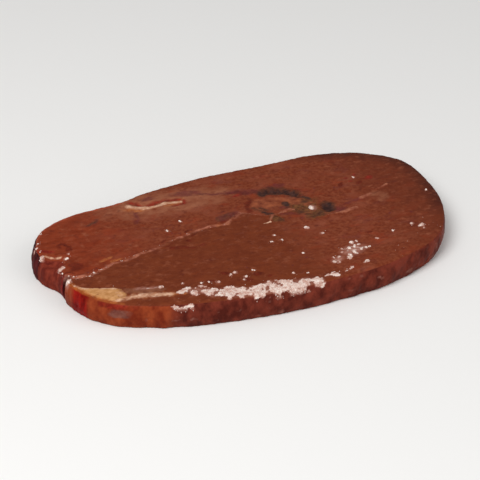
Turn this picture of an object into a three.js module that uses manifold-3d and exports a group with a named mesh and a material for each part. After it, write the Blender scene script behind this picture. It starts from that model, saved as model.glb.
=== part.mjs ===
// One slice of frozen beef liver, sawn flat above and below and lying on its underside.
// Millimetres, +Z up, +X along the slice from its lobed end to its round end, +Y away from the
// front edge. The origin is the middle of the bounding box on the underside.
import * as THREE from "three";
import { mergeVertices } from "three/addons/utils/BufferGeometryUtils.js";
import Module from "manifold-3d";

// Driving dimensions: the rim of the upper cut, end to end and front to back, and the cut's height
const LENGTH = 171;
const WIDTH = 94;
const THICKNESS = 11;

// The rim of the upper cut, as shares of half the length and half the width, anticlockwise from the
// round end. The back lobe and the front lobe meet at the small waist in the left end.
const RIM_POINTS = [
  [1.0, 0.14],
  [0.982, 0.6],
  [0.822, 0.86],
  [0.63, 0.962],
  [0.31, 0.975],
  [0.0, 1.0],
  [-0.31, 0.935],
  [-0.44, 0.872],
  [-0.76, 0.812],
  [-0.908, 0.675],
  [-0.964, 0.52],
  [-0.989, 0.37],
  [-0.985, 0.2],
  [-0.953, 0.03],
  [-0.96, -0.13],
  [-0.951, -0.26],
  [-0.92, -0.41],
  [-0.86, -0.565],
  [-0.765, -0.695],
  [-0.615, -0.815],
  [-0.36, -0.93],
  [0.0, -1.0],
  [0.44, -0.95],
  [0.78, -0.71],
  [0.94, -0.31],
];
const RIM_STEPS = 192;

// The side wall is the liver's own skin: it bulges at mid height, tucks in under the slice, and
// leans, so that the underside lies a little nearer the lobed end and the front.
const WALL_BULGE = 0.9;
const WALL_TUCK = 0.7;
const UNDERSIDE_SHIFT = new THREE.Vector2(-1.1, -0.9);
const WALL_LEVELS = [0, 0.07, 0.25, 0.45, 0.65, 0.84];
// Round the back lobe's left end the wall also spreads outwards towards its foot.
const LOBED_END_FLARE = { out: 1.4, from: 0.415, to: 0.505 };
// Crags of the skin: height in mm, how many go round the rim, and how far each leans by the top.
// They stand out more on some stretches of the rim than on others.
const WALL_CRAGS = [
  { height: 0.34, count: 11, lean: 1.4, start: 0.4 },
  { height: 0.3, count: 29, lean: -1.7, start: 2.1 },
  { height: 0.24, count: 46, lean: 2.6, start: 4.4 },
];
const CRAG_STRETCHES = { share: 0.45, count: 5, start: 1.3 };

// The upper cut: a worn rim, then rings that run in to the middle as the steps round them halve.
const RIM_WEAR = 0.4;
const RINGS = [
  { scale: 0.985, steps: RIM_STEPS },
  { scale: 0.945, steps: RIM_STEPS },
  { scale: 0.89, steps: RIM_STEPS / 2 },
  { scale: 0.81, steps: RIM_STEPS / 2 },
  { scale: 0.72, steps: RIM_STEPS / 2 },
  { scale: 0.61, steps: RIM_STEPS / 4 },
  { scale: 0.49, steps: RIM_STEPS / 4 },
  { scale: 0.36, steps: RIM_STEPS / 4 },
  { scale: 0.22, steps: RIM_STEPS / 8 },
  { scale: 0.1, steps: RIM_STEPS / 8 },
];
// Slow waves that the saw left: height in mm, then waves along and across the slice.
const CUT_WAVES = [
  { height: 0.16, along: 2.1, across: 0.7, start: 0.8 },
  { height: 0.12, along: -1.3, across: 1.9, start: 2.6 },
];
// The strip of fat along the front lobe's rim is a bevel that falls outwards, from one share of the
// way round the rim to another.
const FAT_BEVEL = { drop: 0.35, width: 8, from: 0.525, to: 0.665 };

// The seam where the two lobes froze together, and the two fainter strokes that go on past the veins.
const SEAM_POINTS = [
  [-0.97, -0.135],
  [-0.9, -0.16],
  [-0.68, -0.047],
  [-0.47, 0.052],
  [-0.25, 0.155],
  [-0.11, 0.155],
  [0.013, 0.288],
  [0.12, 0.175],
  [0.3, 0.15],
];
const SEAM_RADIUS = 1.05;
const FAR_SEAM_FRONT = [
  [0.45, -0.083],
  [0.502, -0.06],
  [0.556, -0.043],
];
const FAR_SEAM_BACK = [
  [0.496, 0.011],
  [0.553, 0.043],
  [0.615, 0.089],
  [0.683, 0.134],
  [0.778, 0.219],
];
const FAR_SEAM_RADIUS = 0.75;
const SEAM_SIDES = 6;

// The vertical cleft in the left end, where the seam comes out at the side.
const CLEFT = { at: [-0.963, -0.115], length: 8, width: 2.2, turn: 0.12 };

// Cut veins: an open arc at the back with a wide belly, a round one in front of it with a tail to
// its left, and the paler oval between them.
const ARC_VEIN_POINTS = [
  [0.178, 0.494],
  [0.228, 0.515],
  [0.287, 0.481],
  [0.333, 0.404],
  [0.36, 0.34],
];
const ARC_VEIN_RADIUS = 1.9;
const ARC_VEIN_BELLY = { at: [0.26, 0.506], size: [12, 6.6, 4.6], sunk: 1.7, turn: -0.32 };
const ROUND_VEIN = { at: [0.426, 0.077], size: [7.4, 8, 4.6], sunk: 2, turn: 0.2 };
const ROUND_VEIN_TAIL = { at: [0.346, 0.009], size: [9, 3.4, 3], sunk: 0.8, turn: 0.3 };
const VEIN_OVAL = { at: [0.235, 0.29], size: [23, 13, 5], sunk: 0.7, turn: -0.15 };
// The long chip that broke out just inside the back rim.
const BACK_CHIP = { at: [-0.345, 0.723], size: [15, 4.6, 3.6], sunk: 1.3, turn: -0.33 };
// The bite that broke out of the back lobe's left rim, just behind the cleft.
const RIM_CHIP = { at: [-0.978, 0.176], size: [15.3, 11.5, 9], sunk: 3, turn: -0.25 };

const halfLength = LENGTH / 2;
const halfWidth = WIDTH / 2;

const place = ([along, across], z = 0) =>
  new THREE.Vector3(along * halfLength, across * halfWidth, z);

// A swell over one stretch of the rim: 1 in its middle, and 0 at its ends and past them.
const swellOver = (round, { from, to }) =>
  round > from && round < to ? Math.sin((Math.PI * (round - from)) / (to - from)) : 0;

// The rim at equal steps: its points, how far round each lies (0 to 1), and the way out of the slice.
function rimSamples(steps) {
  const rim = new THREE.CatmullRomCurve3(RIM_POINTS.map((p) => place(p)), true, "centripetal");
  return Array.from({ length: steps }, (_, i) => {
    const round = i / steps;
    const tangent = rim.getTangentAt(round);
    return {
      round,
      point: rim.getPointAt(round),
      outward: new THREE.Vector2(tangent.y, -tangent.x).normalize(),
    };
  });
}

// One ring of the side wall at a level from 0, the underside, to 1, the upper cut.
function wallRing(samples, level) {
  const swell = WALL_BULGE * Math.sin(Math.PI * level) - WALL_TUCK * (1 - level) ** 3;
  return samples.map(({ round, point, outward }) => {
    const wave = ({ count, start }) => Math.sin(2 * Math.PI * count * round + start);
    const crags = WALL_CRAGS.reduce((sum, { height, count, lean, start }) => {
      return sum + height * wave({ count, start: start + lean * level });
    }, 0);
    const rough = 1 - CRAG_STRETCHES.share + CRAG_STRETCHES.share * wave(CRAG_STRETCHES);
    const flare = LOBED_END_FLARE.out * swellOver(round, LOBED_END_FLARE) * (1 - level) ** 2;
    const out = swell + flare + rough * crags * Math.sin(Math.PI * Math.min(level + 0.2, 1));
    return new THREE.Vector3(
      point.x + outward.x * out + UNDERSIDE_SHIFT.x * (1 - level),
      point.y + outward.y * out + UNDERSIDE_SHIFT.y * (1 - level),
      level * THICKNESS,
    );
  });
}

// How far the upper cut lies below the full thickness at a point that is inset mm inside the rim.
function cutDrop(x, y, round, inset) {
  const waves = CUT_WAVES.reduce((sum, w) => {
    const phase = Math.PI * ((w.along * x) / halfLength + (w.across * y) / halfWidth) + w.start;
    return sum + w.height * (1 - Math.cos(phase));
  }, 0);
  const strip = swellOver(round, FAT_BEVEL);
  return waves + FAT_BEVEL.drop * strip * Math.max(0, 1 - inset / FAT_BEVEL.width);
}

// One ring of the upper cut, as the rim drawn in towards the middle.
function cutRing(samples, scale, wear) {
  return samples.map(({ round, point }) => {
    const x = point.x * scale;
    const y = point.y * scale;
    const inset = (1 - scale) * point.length();
    return new THREE.Vector3(x, y, THICKNESS - wear - cutDrop(x, y, round, inset));
  });
}

// The whole slab: underside, wall rings, and the rings of the upper cut up to its middle.
function slab() {
  const samples = rimSamples(RIM_STEPS);
  const every = (steps) => samples.filter((_, i) => i % (RIM_STEPS / steps) === 0);
  const rings = [
    ...WALL_LEVELS.map((level) => wallRing(samples, level)),
    cutRing(samples, 1, RIM_WEAR),
    ...RINGS.map(({ scale, steps }) => cutRing(every(steps), scale, 0)),
  ];
  const points = rings.flat();
  const faces = [];
  let start = 0;
  for (let r = 0; r + 1 < rings.length; r++) {
    const outer = rings[r].length;
    const inner = rings[r + 1].length;
    const next = start + outer;
    const low = (i) => start + (i % outer);
    const high = (i) => next + (i % inner);
    const ratio = outer / inner;
    for (let i = 0; i < inner; i++) {
      for (let k = 0; k < ratio; k++)
        faces.push([low(i * ratio + k), low(i * ratio + k + 1), high(k === 0 ? i : i + 1)]);
      faces.push([low(i * ratio + 1), high(i + 1), high(i)]);
    }
    start = next;
  }
  const last = rings.at(-1);
  const middle = points.push(new THREE.Vector3(0, 0, THICKNESS - cutDrop(0, 0, 0, halfWidth))) - 1;
  last.forEach((_, i) => faces.push([start + i, start + ((i + 1) % last.length), middle]));
  const underside = rings[0].map((p) => new THREE.Vector2(p.x, p.y));
  for (const [a, b, c] of THREE.ShapeUtils.triangulateShape(underside, [])) faces.push([a, c, b]);

  const geometry = new THREE.BufferGeometry().setFromPoints(points);
  geometry.setIndex(faces.flat());
  return geometry;
}

// A groove tool: a thin rod with flat sides that follows a line drawn on the upper cut.
function groove(line, radius, steps, height) {
  const section = new THREE.Shape(
    Array.from({ length: SEAM_SIDES }, (_, i) => {
      const angle = (2 * Math.PI * i) / SEAM_SIDES;
      return new THREE.Vector2(radius * Math.cos(angle), radius * Math.sin(angle));
    }),
  );
  const extrudePath = new THREE.CatmullRomCurve3(line.map((p) => place(p, height)));
  return new THREE.ExtrudeGeometry(section, { steps, extrudePath });
}

// A hollow tool: a flattened ball that reaches sunk mm below the full thickness.
function hollow({ at, size, sunk, turn }) {
  const ball = new THREE.SphereGeometry(0.5, 20, 12);
  ball.scale(...size);
  ball.rotateZ(turn);
  const centre = place(at, THICKNESS - sunk + size[2] / 2);
  return ball.translate(centre.x, centre.y, centre.z);
}

// The cleft tool: a narrow upright diamond, long in the way that the seam runs.
function cleft() {
  const { at, length, width, turn } = CLEFT;
  const diamond = new THREE.Shape([
    new THREE.Vector2(-length / 2, 0),
    new THREE.Vector2(0, -width / 2),
    new THREE.Vector2(length / 2, 0),
    new THREE.Vector2(0, width / 2),
  ]);
  const blade = new THREE.ExtrudeGeometry(diamond, { depth: 3 * THICKNESS, bevelEnabled: false });
  blade.rotateZ(turn);
  const centre = place(at, -THICKNESS);
  return blade.translate(centre.x, centre.y, centre.z);
}

const wasm = await Module();
wasm.setup();

function toSolid(geometry) {
  const bare = geometry.clone();
  bare.deleteAttribute("normal");
  bare.deleteAttribute("uv");
  const merged = mergeVertices(bare, 1e-4);
  return new wasm.Manifold(
    new wasm.Mesh({
      numProp: 3,
      vertProperties: merged.getAttribute("position").array,
      triVerts: new Uint32Array(merged.index.array),
    }),
  );
}

function toGeometry(solid) {
  const { numProp, vertProperties, triVerts } = solid.getMesh();
  const geometry = new THREE.BufferGeometry();
  geometry.setAttribute("position", new THREE.BufferAttribute(vertProperties, numProp));
  geometry.setIndex(new THREE.BufferAttribute(triVerts, 1));
  return geometry;
}

// Cuts every groove and hollow out of the slab and puts the middle of its box over the origin.
function liverSlice() {
  const cuts = [
    groove(SEAM_POINTS, SEAM_RADIUS, 44, THICKNESS),
    groove(FAR_SEAM_FRONT, FAR_SEAM_RADIUS, 5, THICKNESS),
    groove(FAR_SEAM_BACK, FAR_SEAM_RADIUS, 12, THICKNESS),
    groove(ARC_VEIN_POINTS, ARC_VEIN_RADIUS, 10, THICKNESS + 0.3),
    ...[ARC_VEIN_BELLY, ROUND_VEIN, ROUND_VEIN_TAIL, VEIN_OVAL, BACK_CHIP, RIM_CHIP].map(hollow),
    cleft(),
  ];
  const carved = cuts.reduce((solid, cut) => solid.subtract(toSolid(cut)), toSolid(slab()));
  const geometry = toGeometry(carved);
  geometry.computeBoundingBox();
  const middle = geometry.boundingBox.getCenter(new THREE.Vector3());
  geometry.translate(-middle.x, -middle.y, 0);
  geometry.computeVertexNormals();
  return geometry;
}

const frozenLiver = new THREE.MeshStandardMaterial({ color: 0x7a3f2f, roughness: 0.62, metalness: 0 });
const slice = new THREE.Mesh(liverSlice(), frozenLiver);
slice.name = "liver_slice";

const slicedBeefLiver = new THREE.Group();
slicedBeefLiver.add(slice);

export default slicedBeefLiver;
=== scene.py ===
"""The looks of one frozen slice of beef liver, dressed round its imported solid.

The classes hold their sizes in millimetres, in the slice's own frame: +X along the slice to its
round end, +Y to its back edge and +Z up out of the upper cut. MM turns them to Blender's metres.
"""
import logging
import math
from dataclasses import dataclass, field
from enum import Enum
from typing import Any

import bpy
import numpy as np
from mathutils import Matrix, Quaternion, Vector, noise
from mathutils.kdtree import KDTree


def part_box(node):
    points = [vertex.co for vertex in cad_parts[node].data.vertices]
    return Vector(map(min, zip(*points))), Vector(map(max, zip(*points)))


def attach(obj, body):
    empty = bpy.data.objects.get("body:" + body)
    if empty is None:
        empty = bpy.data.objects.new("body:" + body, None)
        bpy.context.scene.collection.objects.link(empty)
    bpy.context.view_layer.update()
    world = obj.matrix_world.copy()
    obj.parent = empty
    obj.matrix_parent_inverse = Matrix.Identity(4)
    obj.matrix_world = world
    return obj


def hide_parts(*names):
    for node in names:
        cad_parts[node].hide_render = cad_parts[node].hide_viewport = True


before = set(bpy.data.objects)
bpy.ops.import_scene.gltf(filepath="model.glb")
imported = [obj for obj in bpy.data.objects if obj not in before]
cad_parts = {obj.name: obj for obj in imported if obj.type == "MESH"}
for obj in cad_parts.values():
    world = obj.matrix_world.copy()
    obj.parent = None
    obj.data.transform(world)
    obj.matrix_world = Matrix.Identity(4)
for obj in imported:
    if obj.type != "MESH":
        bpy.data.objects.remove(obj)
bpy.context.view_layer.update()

MM = 0.001
BODY = "root"
SOLID = "liver_slice"
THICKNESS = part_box(SOLID)[1].z / MM

Point = tuple[float, float]
Place = tuple[float, float, float]
Grain = tuple[float, float, float]
# Where something isn't there yet, and where it is there in full, as smoothstep takes them.
Fade = tuple[float, float]
# Shares of the thickness: something comes in between the first two, and goes between the last two.
Heights = tuple[float, float, float, float]
log = logging.getLogger("beef_liver")

# How fast the octaves of unevenness grow weaker, and how much finer each is than the one before.
OCTAVE_FALL, OCTAVE_STEP = 1.0, 2.0
# The Mix node's sockets by number, because numbers and colours share their names.
FACTOR = 0
NUMBER_A, NUMBER_B, NUMBER_OUT = 2, 3, 0
COLOUR_A, COLOUR_B, COLOUR_OUT = 6, 7, 2


class Slot(Enum):
    """The record's material slots."""

    LIVER = "frozen_liver"
    FROST = "frost"


class Mark(Enum):
    """What every point of the slice carries for its material. At 0.5 a mark's edge runs through it."""

    WALL = "wall"
    RIM = "rim"
    RED_END = "red_end"
    PALE = "pale"
    FRONT_LOBE = "front_lobe"
    # Painted shade that darkens the round end of the cuts.
    ROUND_END = "round_end"
    # Painted shade, darker still, in a band along the round end's rim.
    SHADE = "shade"
    # The skin behind the cleft at the lobed end: partly its own dark red, partly painted shade.
    LOBED_END = "lobed_end"
    TORN = "torn"
    ORANGE_END = "orange_end"
    RED_SKIN = "red_skin"
    GREY_SKIN = "grey_skin"
    # Painted shade: the cleft's walls near black.
    CLEFT = "cleft"
    SEAM = "seam"
    FAR_SEAM = "far_seam"
    AMBER = "amber"
    FAT = "fat"
    FAT_EDGE = "fat_edge"
    FAT_END = "fat_end"
    BRUISE = "bruise"
    OLIVE = "olive"
    OVAL = "oval"
    VEIN = "vein"
    BLOOD = "blood"
    # Real stains of blood, and painted shade beside the seam's groove.
    STAIN = "stain"
    LIP = "lip"
    FROST = "frost"


def linear(colour: str) -> tuple[float, float, float, float]:
    """Turns an sRGB hex colour to the linear one that shaders take.

    Args:
        colour: Six hex digits, such as "7a3f2f".

    Returns:
        Red, green and blue, and an alpha of 1.
    """
    parts = [int(colour[i:i + 2], 16) / 255 for i in (0, 2, 4)]
    red, green, blue = (c / 12.92 if c <= 0.04045 else ((c + 0.055) / 1.055) ** 2.4 for c in parts)
    return red, green, blue, 1.0


def add_node(tree: bpy.types.NodeTree, kind: str, feeds: dict[int | str, Any] | None = None,
             **settings: Any) -> bpy.types.Node:
    """Adds one shader node with its settings and links.

    Args:
        tree: The node tree that it goes in.
        kind: The node's type name.
        feeds: What each input gets, by name or number: a socket to link from, or a plain value.
        settings: The node's own properties.

    Returns:
        The new node.
    """
    made = tree.nodes.new(kind)
    for name, value in settings.items():
        setattr(made, name, value)
    for socket, value in (feeds or {}).items():
        if isinstance(value, bpy.types.NodeSocket):
            tree.links.new(value, made.inputs[socket])
        else:
            made.inputs[socket].default_value = value
    return made


def smoothstep(low: float, high: float, values: np.ndarray) -> np.ndarray:
    """Goes smoothly from 0 at low to 1 at high, which may be the lower number.

    Args:
        low: Where it is 0.
        high: Where it is 1.
        values: The numbers to look up.

    Returns:
        One number from 0 to 1 for each value.
    """
    share = np.clip((values - low) / (high - low), 0.0, 1.0)
    return share * share * (3 - 2 * share)


def growing(share: float, fade: Fade, values: np.ndarray) -> np.ndarray:
    """Goes smoothly from a share at the start of a fade to 1 at its end."""
    return share + (1 - share) * smoothstep(*fade, values)


def tree_of(places: np.ndarray) -> KDTree:
    """Puts places in a tree that finds the nearest one.

    Args:
        places: Rows of x, y and z.

    Returns:
        The tree, ready to search.
    """
    tree = KDTree(len(places))
    for index, place in enumerate(places.tolist()):
        tree.insert(place, index)
    tree.balance()
    return tree


def start_material(name: str) -> tuple[bpy.types.Material, bpy.types.NodeSocket]:
    """Starts a node material.

    Args:
        name: Its name.

    Returns:
        The material, and the socket that says where a point of the piece is, in metres.
    """
    made = bpy.data.materials.new(name)
    made.use_nodes = True
    made.node_tree.nodes.clear()
    return made, add_node(made.node_tree, "ShaderNodeTexCoord").outputs["Object"]


def blend_colours(tree: bpy.types.NodeTree, share: bpy.types.NodeSocket, spread: Point, dark: str,
                  light: str) -> bpy.types.NodeSocket:
    """Blends two colours by a pattern.

    Args:
        tree: The material's nodes.
        share: The pattern.
        spread: The pattern's values where the first colour ends and the second is full.
        dark: The first colour, in hex.
        light: The second colour, in hex.

    Returns:
        The blended colour.
    """
    tone = add_node(tree, "ShaderNodeMapRange", {
        "Value": share, "From Min": spread[0], "From Max": spread[1]})
    blended = add_node(tree, "ShaderNodeMix", {
        FACTOR: tone.outputs[0], COLOUR_A: linear(dark), COLOUR_B: linear(light)}, data_type="RGBA")
    return blended.outputs[COLOUR_OUT]


def select_only(thing: bpy.types.Object) -> None:
    """Deselects everything, then selects one object and makes it the active one.

    Args:
        thing: The object.
    """
    bpy.ops.object.select_all(action="DESELECT")
    thing.select_set(True)
    bpy.context.view_layer.objects.active = thing


@dataclass(frozen=True)
class Ripple:
    """A layer of unevenness: its height, and how long its swells are along X, Y and Z."""

    height: float
    grain: Grain
    start: float = 0.0
    octaves: int = 3

    def at(self, places: np.ndarray) -> np.ndarray:
        """Its height at each place.

        Args:
            places: Rows of x, y and z.

        Returns:
            Millimetres, from about -height to height.
        """
        rows = (places / np.array(self.grain) + self.start).tolist()
        swells = [noise.fractal(row, OCTAVE_FALL, OCTAVE_STEP, self.octaves) for row in rows]
        return self.height * np.array(swells)


@dataclass(frozen=True)
class Trace:
    """A line drawn on a cut, smooth through its points, with a soft edge."""

    points: tuple[Point, ...]
    half_width: float = 1.0
    steps: int = 10

    def curve(self) -> np.ndarray:
        """Draws the line, in a number of steps from each point to the next.

        Returns:
            Rows of x and y.
        """
        given = np.array(self.points, float)
        knots = np.vstack([2 * given[0] - given[1], given, 2 * given[-1] - given[-2]])
        a, b, c, d = (knots[k:len(knots) - 3 + k, None] for k in range(4))
        t = np.linspace(0, 1, self.steps, endpoint=False)[None, :, None]
        bends = (2 * a - 5 * b + 4 * c - d) * t ** 2 + (3 * b - a - 3 * c + d) * t ** 3
        rows = 0.5 * (2 * b + (c - a) * t + bends)
        return np.vstack([rows.reshape(-1, 2), given[-1:]])

    def measure(self, plan: np.ndarray) -> tuple[np.ndarray, np.ndarray]:
        """How far each place lies from the line.

        Args:
            plan: Rows of x and y.

        Returns:
            Millimetres from the line, plus on its left and minus on its right, and the millimetres
            gone along it.
        """
        gap = np.full(len(plan), np.inf)
        along = np.zeros(len(plan))
        gone = 0.0
        curve = self.curve()
        for start, end in zip(curve, curve[1:]):
            way = end - start
            length = float(np.linalg.norm(way))
            off = plan - start
            share = np.clip(off @ way / length ** 2, 0, 1)
            near = np.linalg.norm(off - share[:, None] * way, axis=1)
            closer = near < np.abs(gap)
            left = way[0] * off[:, 1] - way[1] * off[:, 0] >= 0
            gap[closer] = np.where(left, near, -near)[closer]
            along[closer] = (gone + share * length)[closer]
            gone += length
        return gap, along

    def strength(self, plan: np.ndarray) -> np.ndarray:
        """1 on the line, 0.5 at its half width and 0 at its whole width away."""
        return np.clip(1 - np.abs(self.measure(plan)[0]) / (2 * self.half_width), 0, 1)


@dataclass(frozen=True)
class Blot:
    """An oval mark on a cut: its middle, its half sizes and its turn in degrees."""

    at: Point
    half: Point
    turn: float = 0.0

    def strength(self, plan: np.ndarray) -> np.ndarray:
        """How strong the mark is at each place.

        Args:
            plan: Rows of x and y.

        Returns:
            1 in its middle, 0.5 at its outline and 0 at one and a half times its size.
        """
        cos, sin = math.cos(math.radians(self.turn)), math.sin(math.radians(self.turn))
        off = plan - np.array(self.at)
        along = off @ np.array([cos, sin]) / self.half[0]
        across = off @ np.array([-sin, cos]) / self.half[1]
        return np.clip(1.5 - np.hypot(along, across), 0, 1)


@dataclass(frozen=True)
class Patch:
    """An area of a cut inside an outline, with a soft edge some millimetres wide."""

    outline: tuple[Point, ...]
    soft: float = 1.0

    def strength(self, plan: np.ndarray) -> np.ndarray:
        """1 inside, 0.5 on the outline and 0 outside.

        Args:
            plan: Rows of x and y.

        Returns:
            One number from 0 to 1 for each place.
        """
        corners = np.array(self.outline, float)
        gap = np.full(len(plan), np.inf)
        inside = np.zeros(len(plan), bool)
        for start, end in zip(corners, np.roll(corners, -1, axis=0)):
            way, off = end - start, plan - start
            share = np.clip(off @ way / (way @ way), 0, 1)
            gap = np.minimum(gap, np.linalg.norm(off - share[:, None] * way, axis=1))
            spans = (start[1] > plan[:, 1]) != (end[1] > plan[:, 1])
            rise = way[1] if way[1] else 1.0
            inside ^= spans & (off[:, 0] < off[:, 1] / rise * way[0])
        return np.clip(0.5 + np.where(inside, gap, -gap) / self.soft, 0, 1)


# How far marks stray sideways and in depth, so that no edge of one is a clean curve.
STRAYS = (Ripple(1.2, (4.5, 3.5, 4.5), 12.6, 4), Ripple(0.9, (4.5, 3.5, 4.5), 47.1, 4))

# Where the large flakes of frost lie on the upper cut, and how wide each is.
FLAKES = (
    (30.8, 6.2, 3.6), (21.0, -8.0, 2.2), (24.6, -14.0, 1.7), (6.4, -8.1, 1.4), (3.1, -12.4, 1.2),
    (7.4, -12.5, 1.3), (58.0, 21.8, 1.5), (80.6, 0.2, 1.3), (61.6, -21.4, 1.9), (65.0, -24.0, 2.5),
    (64.9, -26.1, 1.3), (32.2, -25.2, 2.3), (34.6, -24.6, 1.5), (34.3, -26.9, 1.6), (31.9, -28.0, 1.5),
    (28.7, -28.5, 2.1), (25.3, -30.1, 1.7), (26.0, -27.8, 1.2), (33.6, -30.6, 1.8), (35.5, -30.5, 1.6),
    (37.2, -30.4, 1.2), (29.6, -31.4, 2.0), (30.1, -33.2, 1.7), (26.6, -32.8, 1.8), (22.4, -32.6, 1.7),
    (18.8, -35.5, 2.0), (20.1, -32.2, 1.2), (43.4, -25.8, 1.3), (52.0, -22.8, 1.4),
    (10.5, -24.8, 1.6), (-20.2, -27.0, 2.0), (-22.8, -28.2, 1.6), (-17.9, -31.7, 1.7), (-19.3, -33.2, 1.3),
    (-13.2, -28.8, 1.2), (-29.4, -30.9, 1.7), (-32.4, -29.4, 1.2), (-35.7, -28.7, 1.4),
    (-42.3, -26.6, 1.3), (-51.4, -25.2, 2.3), (0.0, -36.6, 1.2), (5.4, -38.8, 1.1), (-31.6, 11.8, 1.7),
    (-23.4, 16.5, 1.4), (-76.4, 8.3, 1.9), (-74.2, 11.1, 1.2), (-82.0, 1.6, 1.8), (-81.0, 2.0, 1.9),
    (-80.0, 2.6, 1.6), (-83.4, -0.5, 1.2), (-80.9, -4.6, 1.3), (-79.0, -5.8, 1.1), (-82.0, -8.2, 1.7),
    (-72.9, -6.9, 1.1), (-70.2, -6.0, 1.2), (-84.4, 13.0, 1.8), (-84.2, 20.5, 1.7), (-82.2, 23.6, 1.1),
    (-83.5, 17.4, 0.9), (-78.5, 30.2, 0.9))


@dataclass
class Surface:
    """The points of the slice, and what its features ask about them, in millimetres.

    inset is how far a point lies inside the skin, seen from above. It is measured from the skin's
    steep points at the heights in skin_heights. upper, under and wall share each point out between
    the two cuts and the skin: the wall fades in as the normal turns level and the inset shrinks.
    """

    places: np.ndarray
    normals: np.ndarray
    steep: float = 0.4
    skin_heights: Point = (0.25, 0.75)
    wall_slope: Fade = (0.8, 0.5)
    wall_inset: Fade = (3.5, 2.0)
    stray: np.ndarray = field(init=False)
    inset: np.ndarray = field(init=False)
    wall: np.ndarray = field(init=False)
    upper: np.ndarray = field(init=False)
    under: np.ndarray = field(init=False)

    def __post_init__(self) -> None:
        """Works out the stray, the inset and the shares."""
        self.stray = np.column_stack([ripple.at(self.places) for ripple in STRAYS])
        slope, height = np.abs(self.normals[:, 2]), self.places[:, 2]
        low, high = (share * THICKNESS for share in self.skin_heights)
        flat = self.places * (1.0, 1.0, 0.0)
        tree = tree_of(flat[(slope < self.steep) & (height > low) & (height < high)])
        self.inset = np.array([tree.find(place)[2] for place in flat.tolist()])
        self.wall = smoothstep(*self.wall_slope, slope) * smoothstep(*self.wall_inset, self.inset)
        self.upper = self.cuts * (height > THICKNESS / 2)
        self.under = self.cuts * (height <= THICKNESS / 2)

    @property
    def plan(self) -> np.ndarray:
        """The points seen from above, as rows of x and y."""
        return self.places[:, :2]

    @property
    def cuts(self) -> np.ndarray:
        """How far each point belongs to either of the two cuts."""
        return 1 - self.wall

    def above(self, fade: Fade) -> np.ndarray:
        """Goes from 0 at the first of two shares of the thickness to 1 at the second."""
        low, high = (share * THICKNESS for share in fade)
        return smoothstep(low, high, self.places[:, 2])

    def between(self, heights: Heights) -> np.ndarray:
        """Is 1 between the two inner ones of four heights, and 0 beyond the two outer ones."""
        starts, full, thins, ends = heights
        return self.above((starts, full)) * self.above((ends, thins))

    def near_skin(self, width: float, boost: float = 0.0) -> np.ndarray:
        """Is 1 at the skin, about 0.5 this far inside it and 0 at twice that, plus a boost."""
        return np.clip(1 + boost - self.inset / (2 * width), 0, 1)

    def strayed(self, share: float = 1.0) -> np.ndarray:
        """The plan with a share of the stray added, which makes what is drawn on it ragged."""
        return self.plan + share * self.stray

    @classmethod
    def of(cls, mesh: bpy.types.Mesh) -> "Surface":
        """Reads a mesh's points and their normals.

        Args:
            mesh: A mesh in metres.

        Returns:
            Its surface in millimetres.
        """
        places = np.empty(3 * len(mesh.vertices))
        mesh.vertices.foreach_get("co", places)
        normals = np.empty(3 * len(mesh.vertices))
        mesh.vertices.foreach_get("normal", normals)
        return cls(places.reshape(-1, 3) / MM, normals.reshape(-1, 3))


class Feature:
    """Something that the slice's surface shows: it lifts or sinks points, and marks them."""

    def relief(self, surface: Surface) -> np.ndarray | float:
        """How far each point moves out of the slice, in millimetres."""
        return 0.0

    def marks(self, surface: Surface) -> dict[Mark, np.ndarray]:
        """The marks that it leaves, from 0 to 1 at each point."""
        return {}


@dataclass(frozen=True)
class SawnCuts(Feature):
    """The two cuts: faint saw lines along the slice, torn grains, dents, pits and a worn rim.

    The underside is calmer by calmer_below, and is only sunk, so that the slice lies flat on it.
    """

    saw_lines: Ripple = Ripple(0.012, (12.0, 2.2, 12.0), 3.1)
    torn_grains: Ripple = Ripple(0.06, (2.2, 1.8, 2.2), 8.4)
    dents: Ripple = Ripple(0.12, (6.5, 4.5, 6.5), 15.9, 2)
    slow_swells: Ripple = Ripple(0.1, (17.0, 11.0, 17.0), 5.7, 2)
    pits: Ripple = Ripple(1.0, (2.8, 2.2, 2.8), 21.3, 2)
    pit_edge: Fade = (0.34, 0.62)
    pit_depth: float = 0.16
    rim_chips: Ripple = Ripple(0.26, (3.0, 3.0, 3.0), 33.8)
    rim_width: Fade = (1.6, 0.4)
    calmer_below: float = 3.0

    def relief(self, surface: Surface) -> np.ndarray:
        """The unevenness of both cuts.

        Args:
            surface: The slice's surface.

        Returns:
            How far each point moves out of the slice, in millimetres.
        """
        places = surface.places
        lines = self.saw_lines.at(places) + self.torn_grains.at(places) + self.dents.at(places)
        pits = -self.pit_depth * smoothstep(*self.pit_edge, self.pits.at(places))
        chips = -np.abs(self.rim_chips.at(places)) * smoothstep(*self.rim_width, surface.inset)
        upper = lines + pits + chips + self.slow_swells.at(places)
        return surface.upper * upper + surface.under * np.minimum(0, lines + pits) / self.calmer_below


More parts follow.
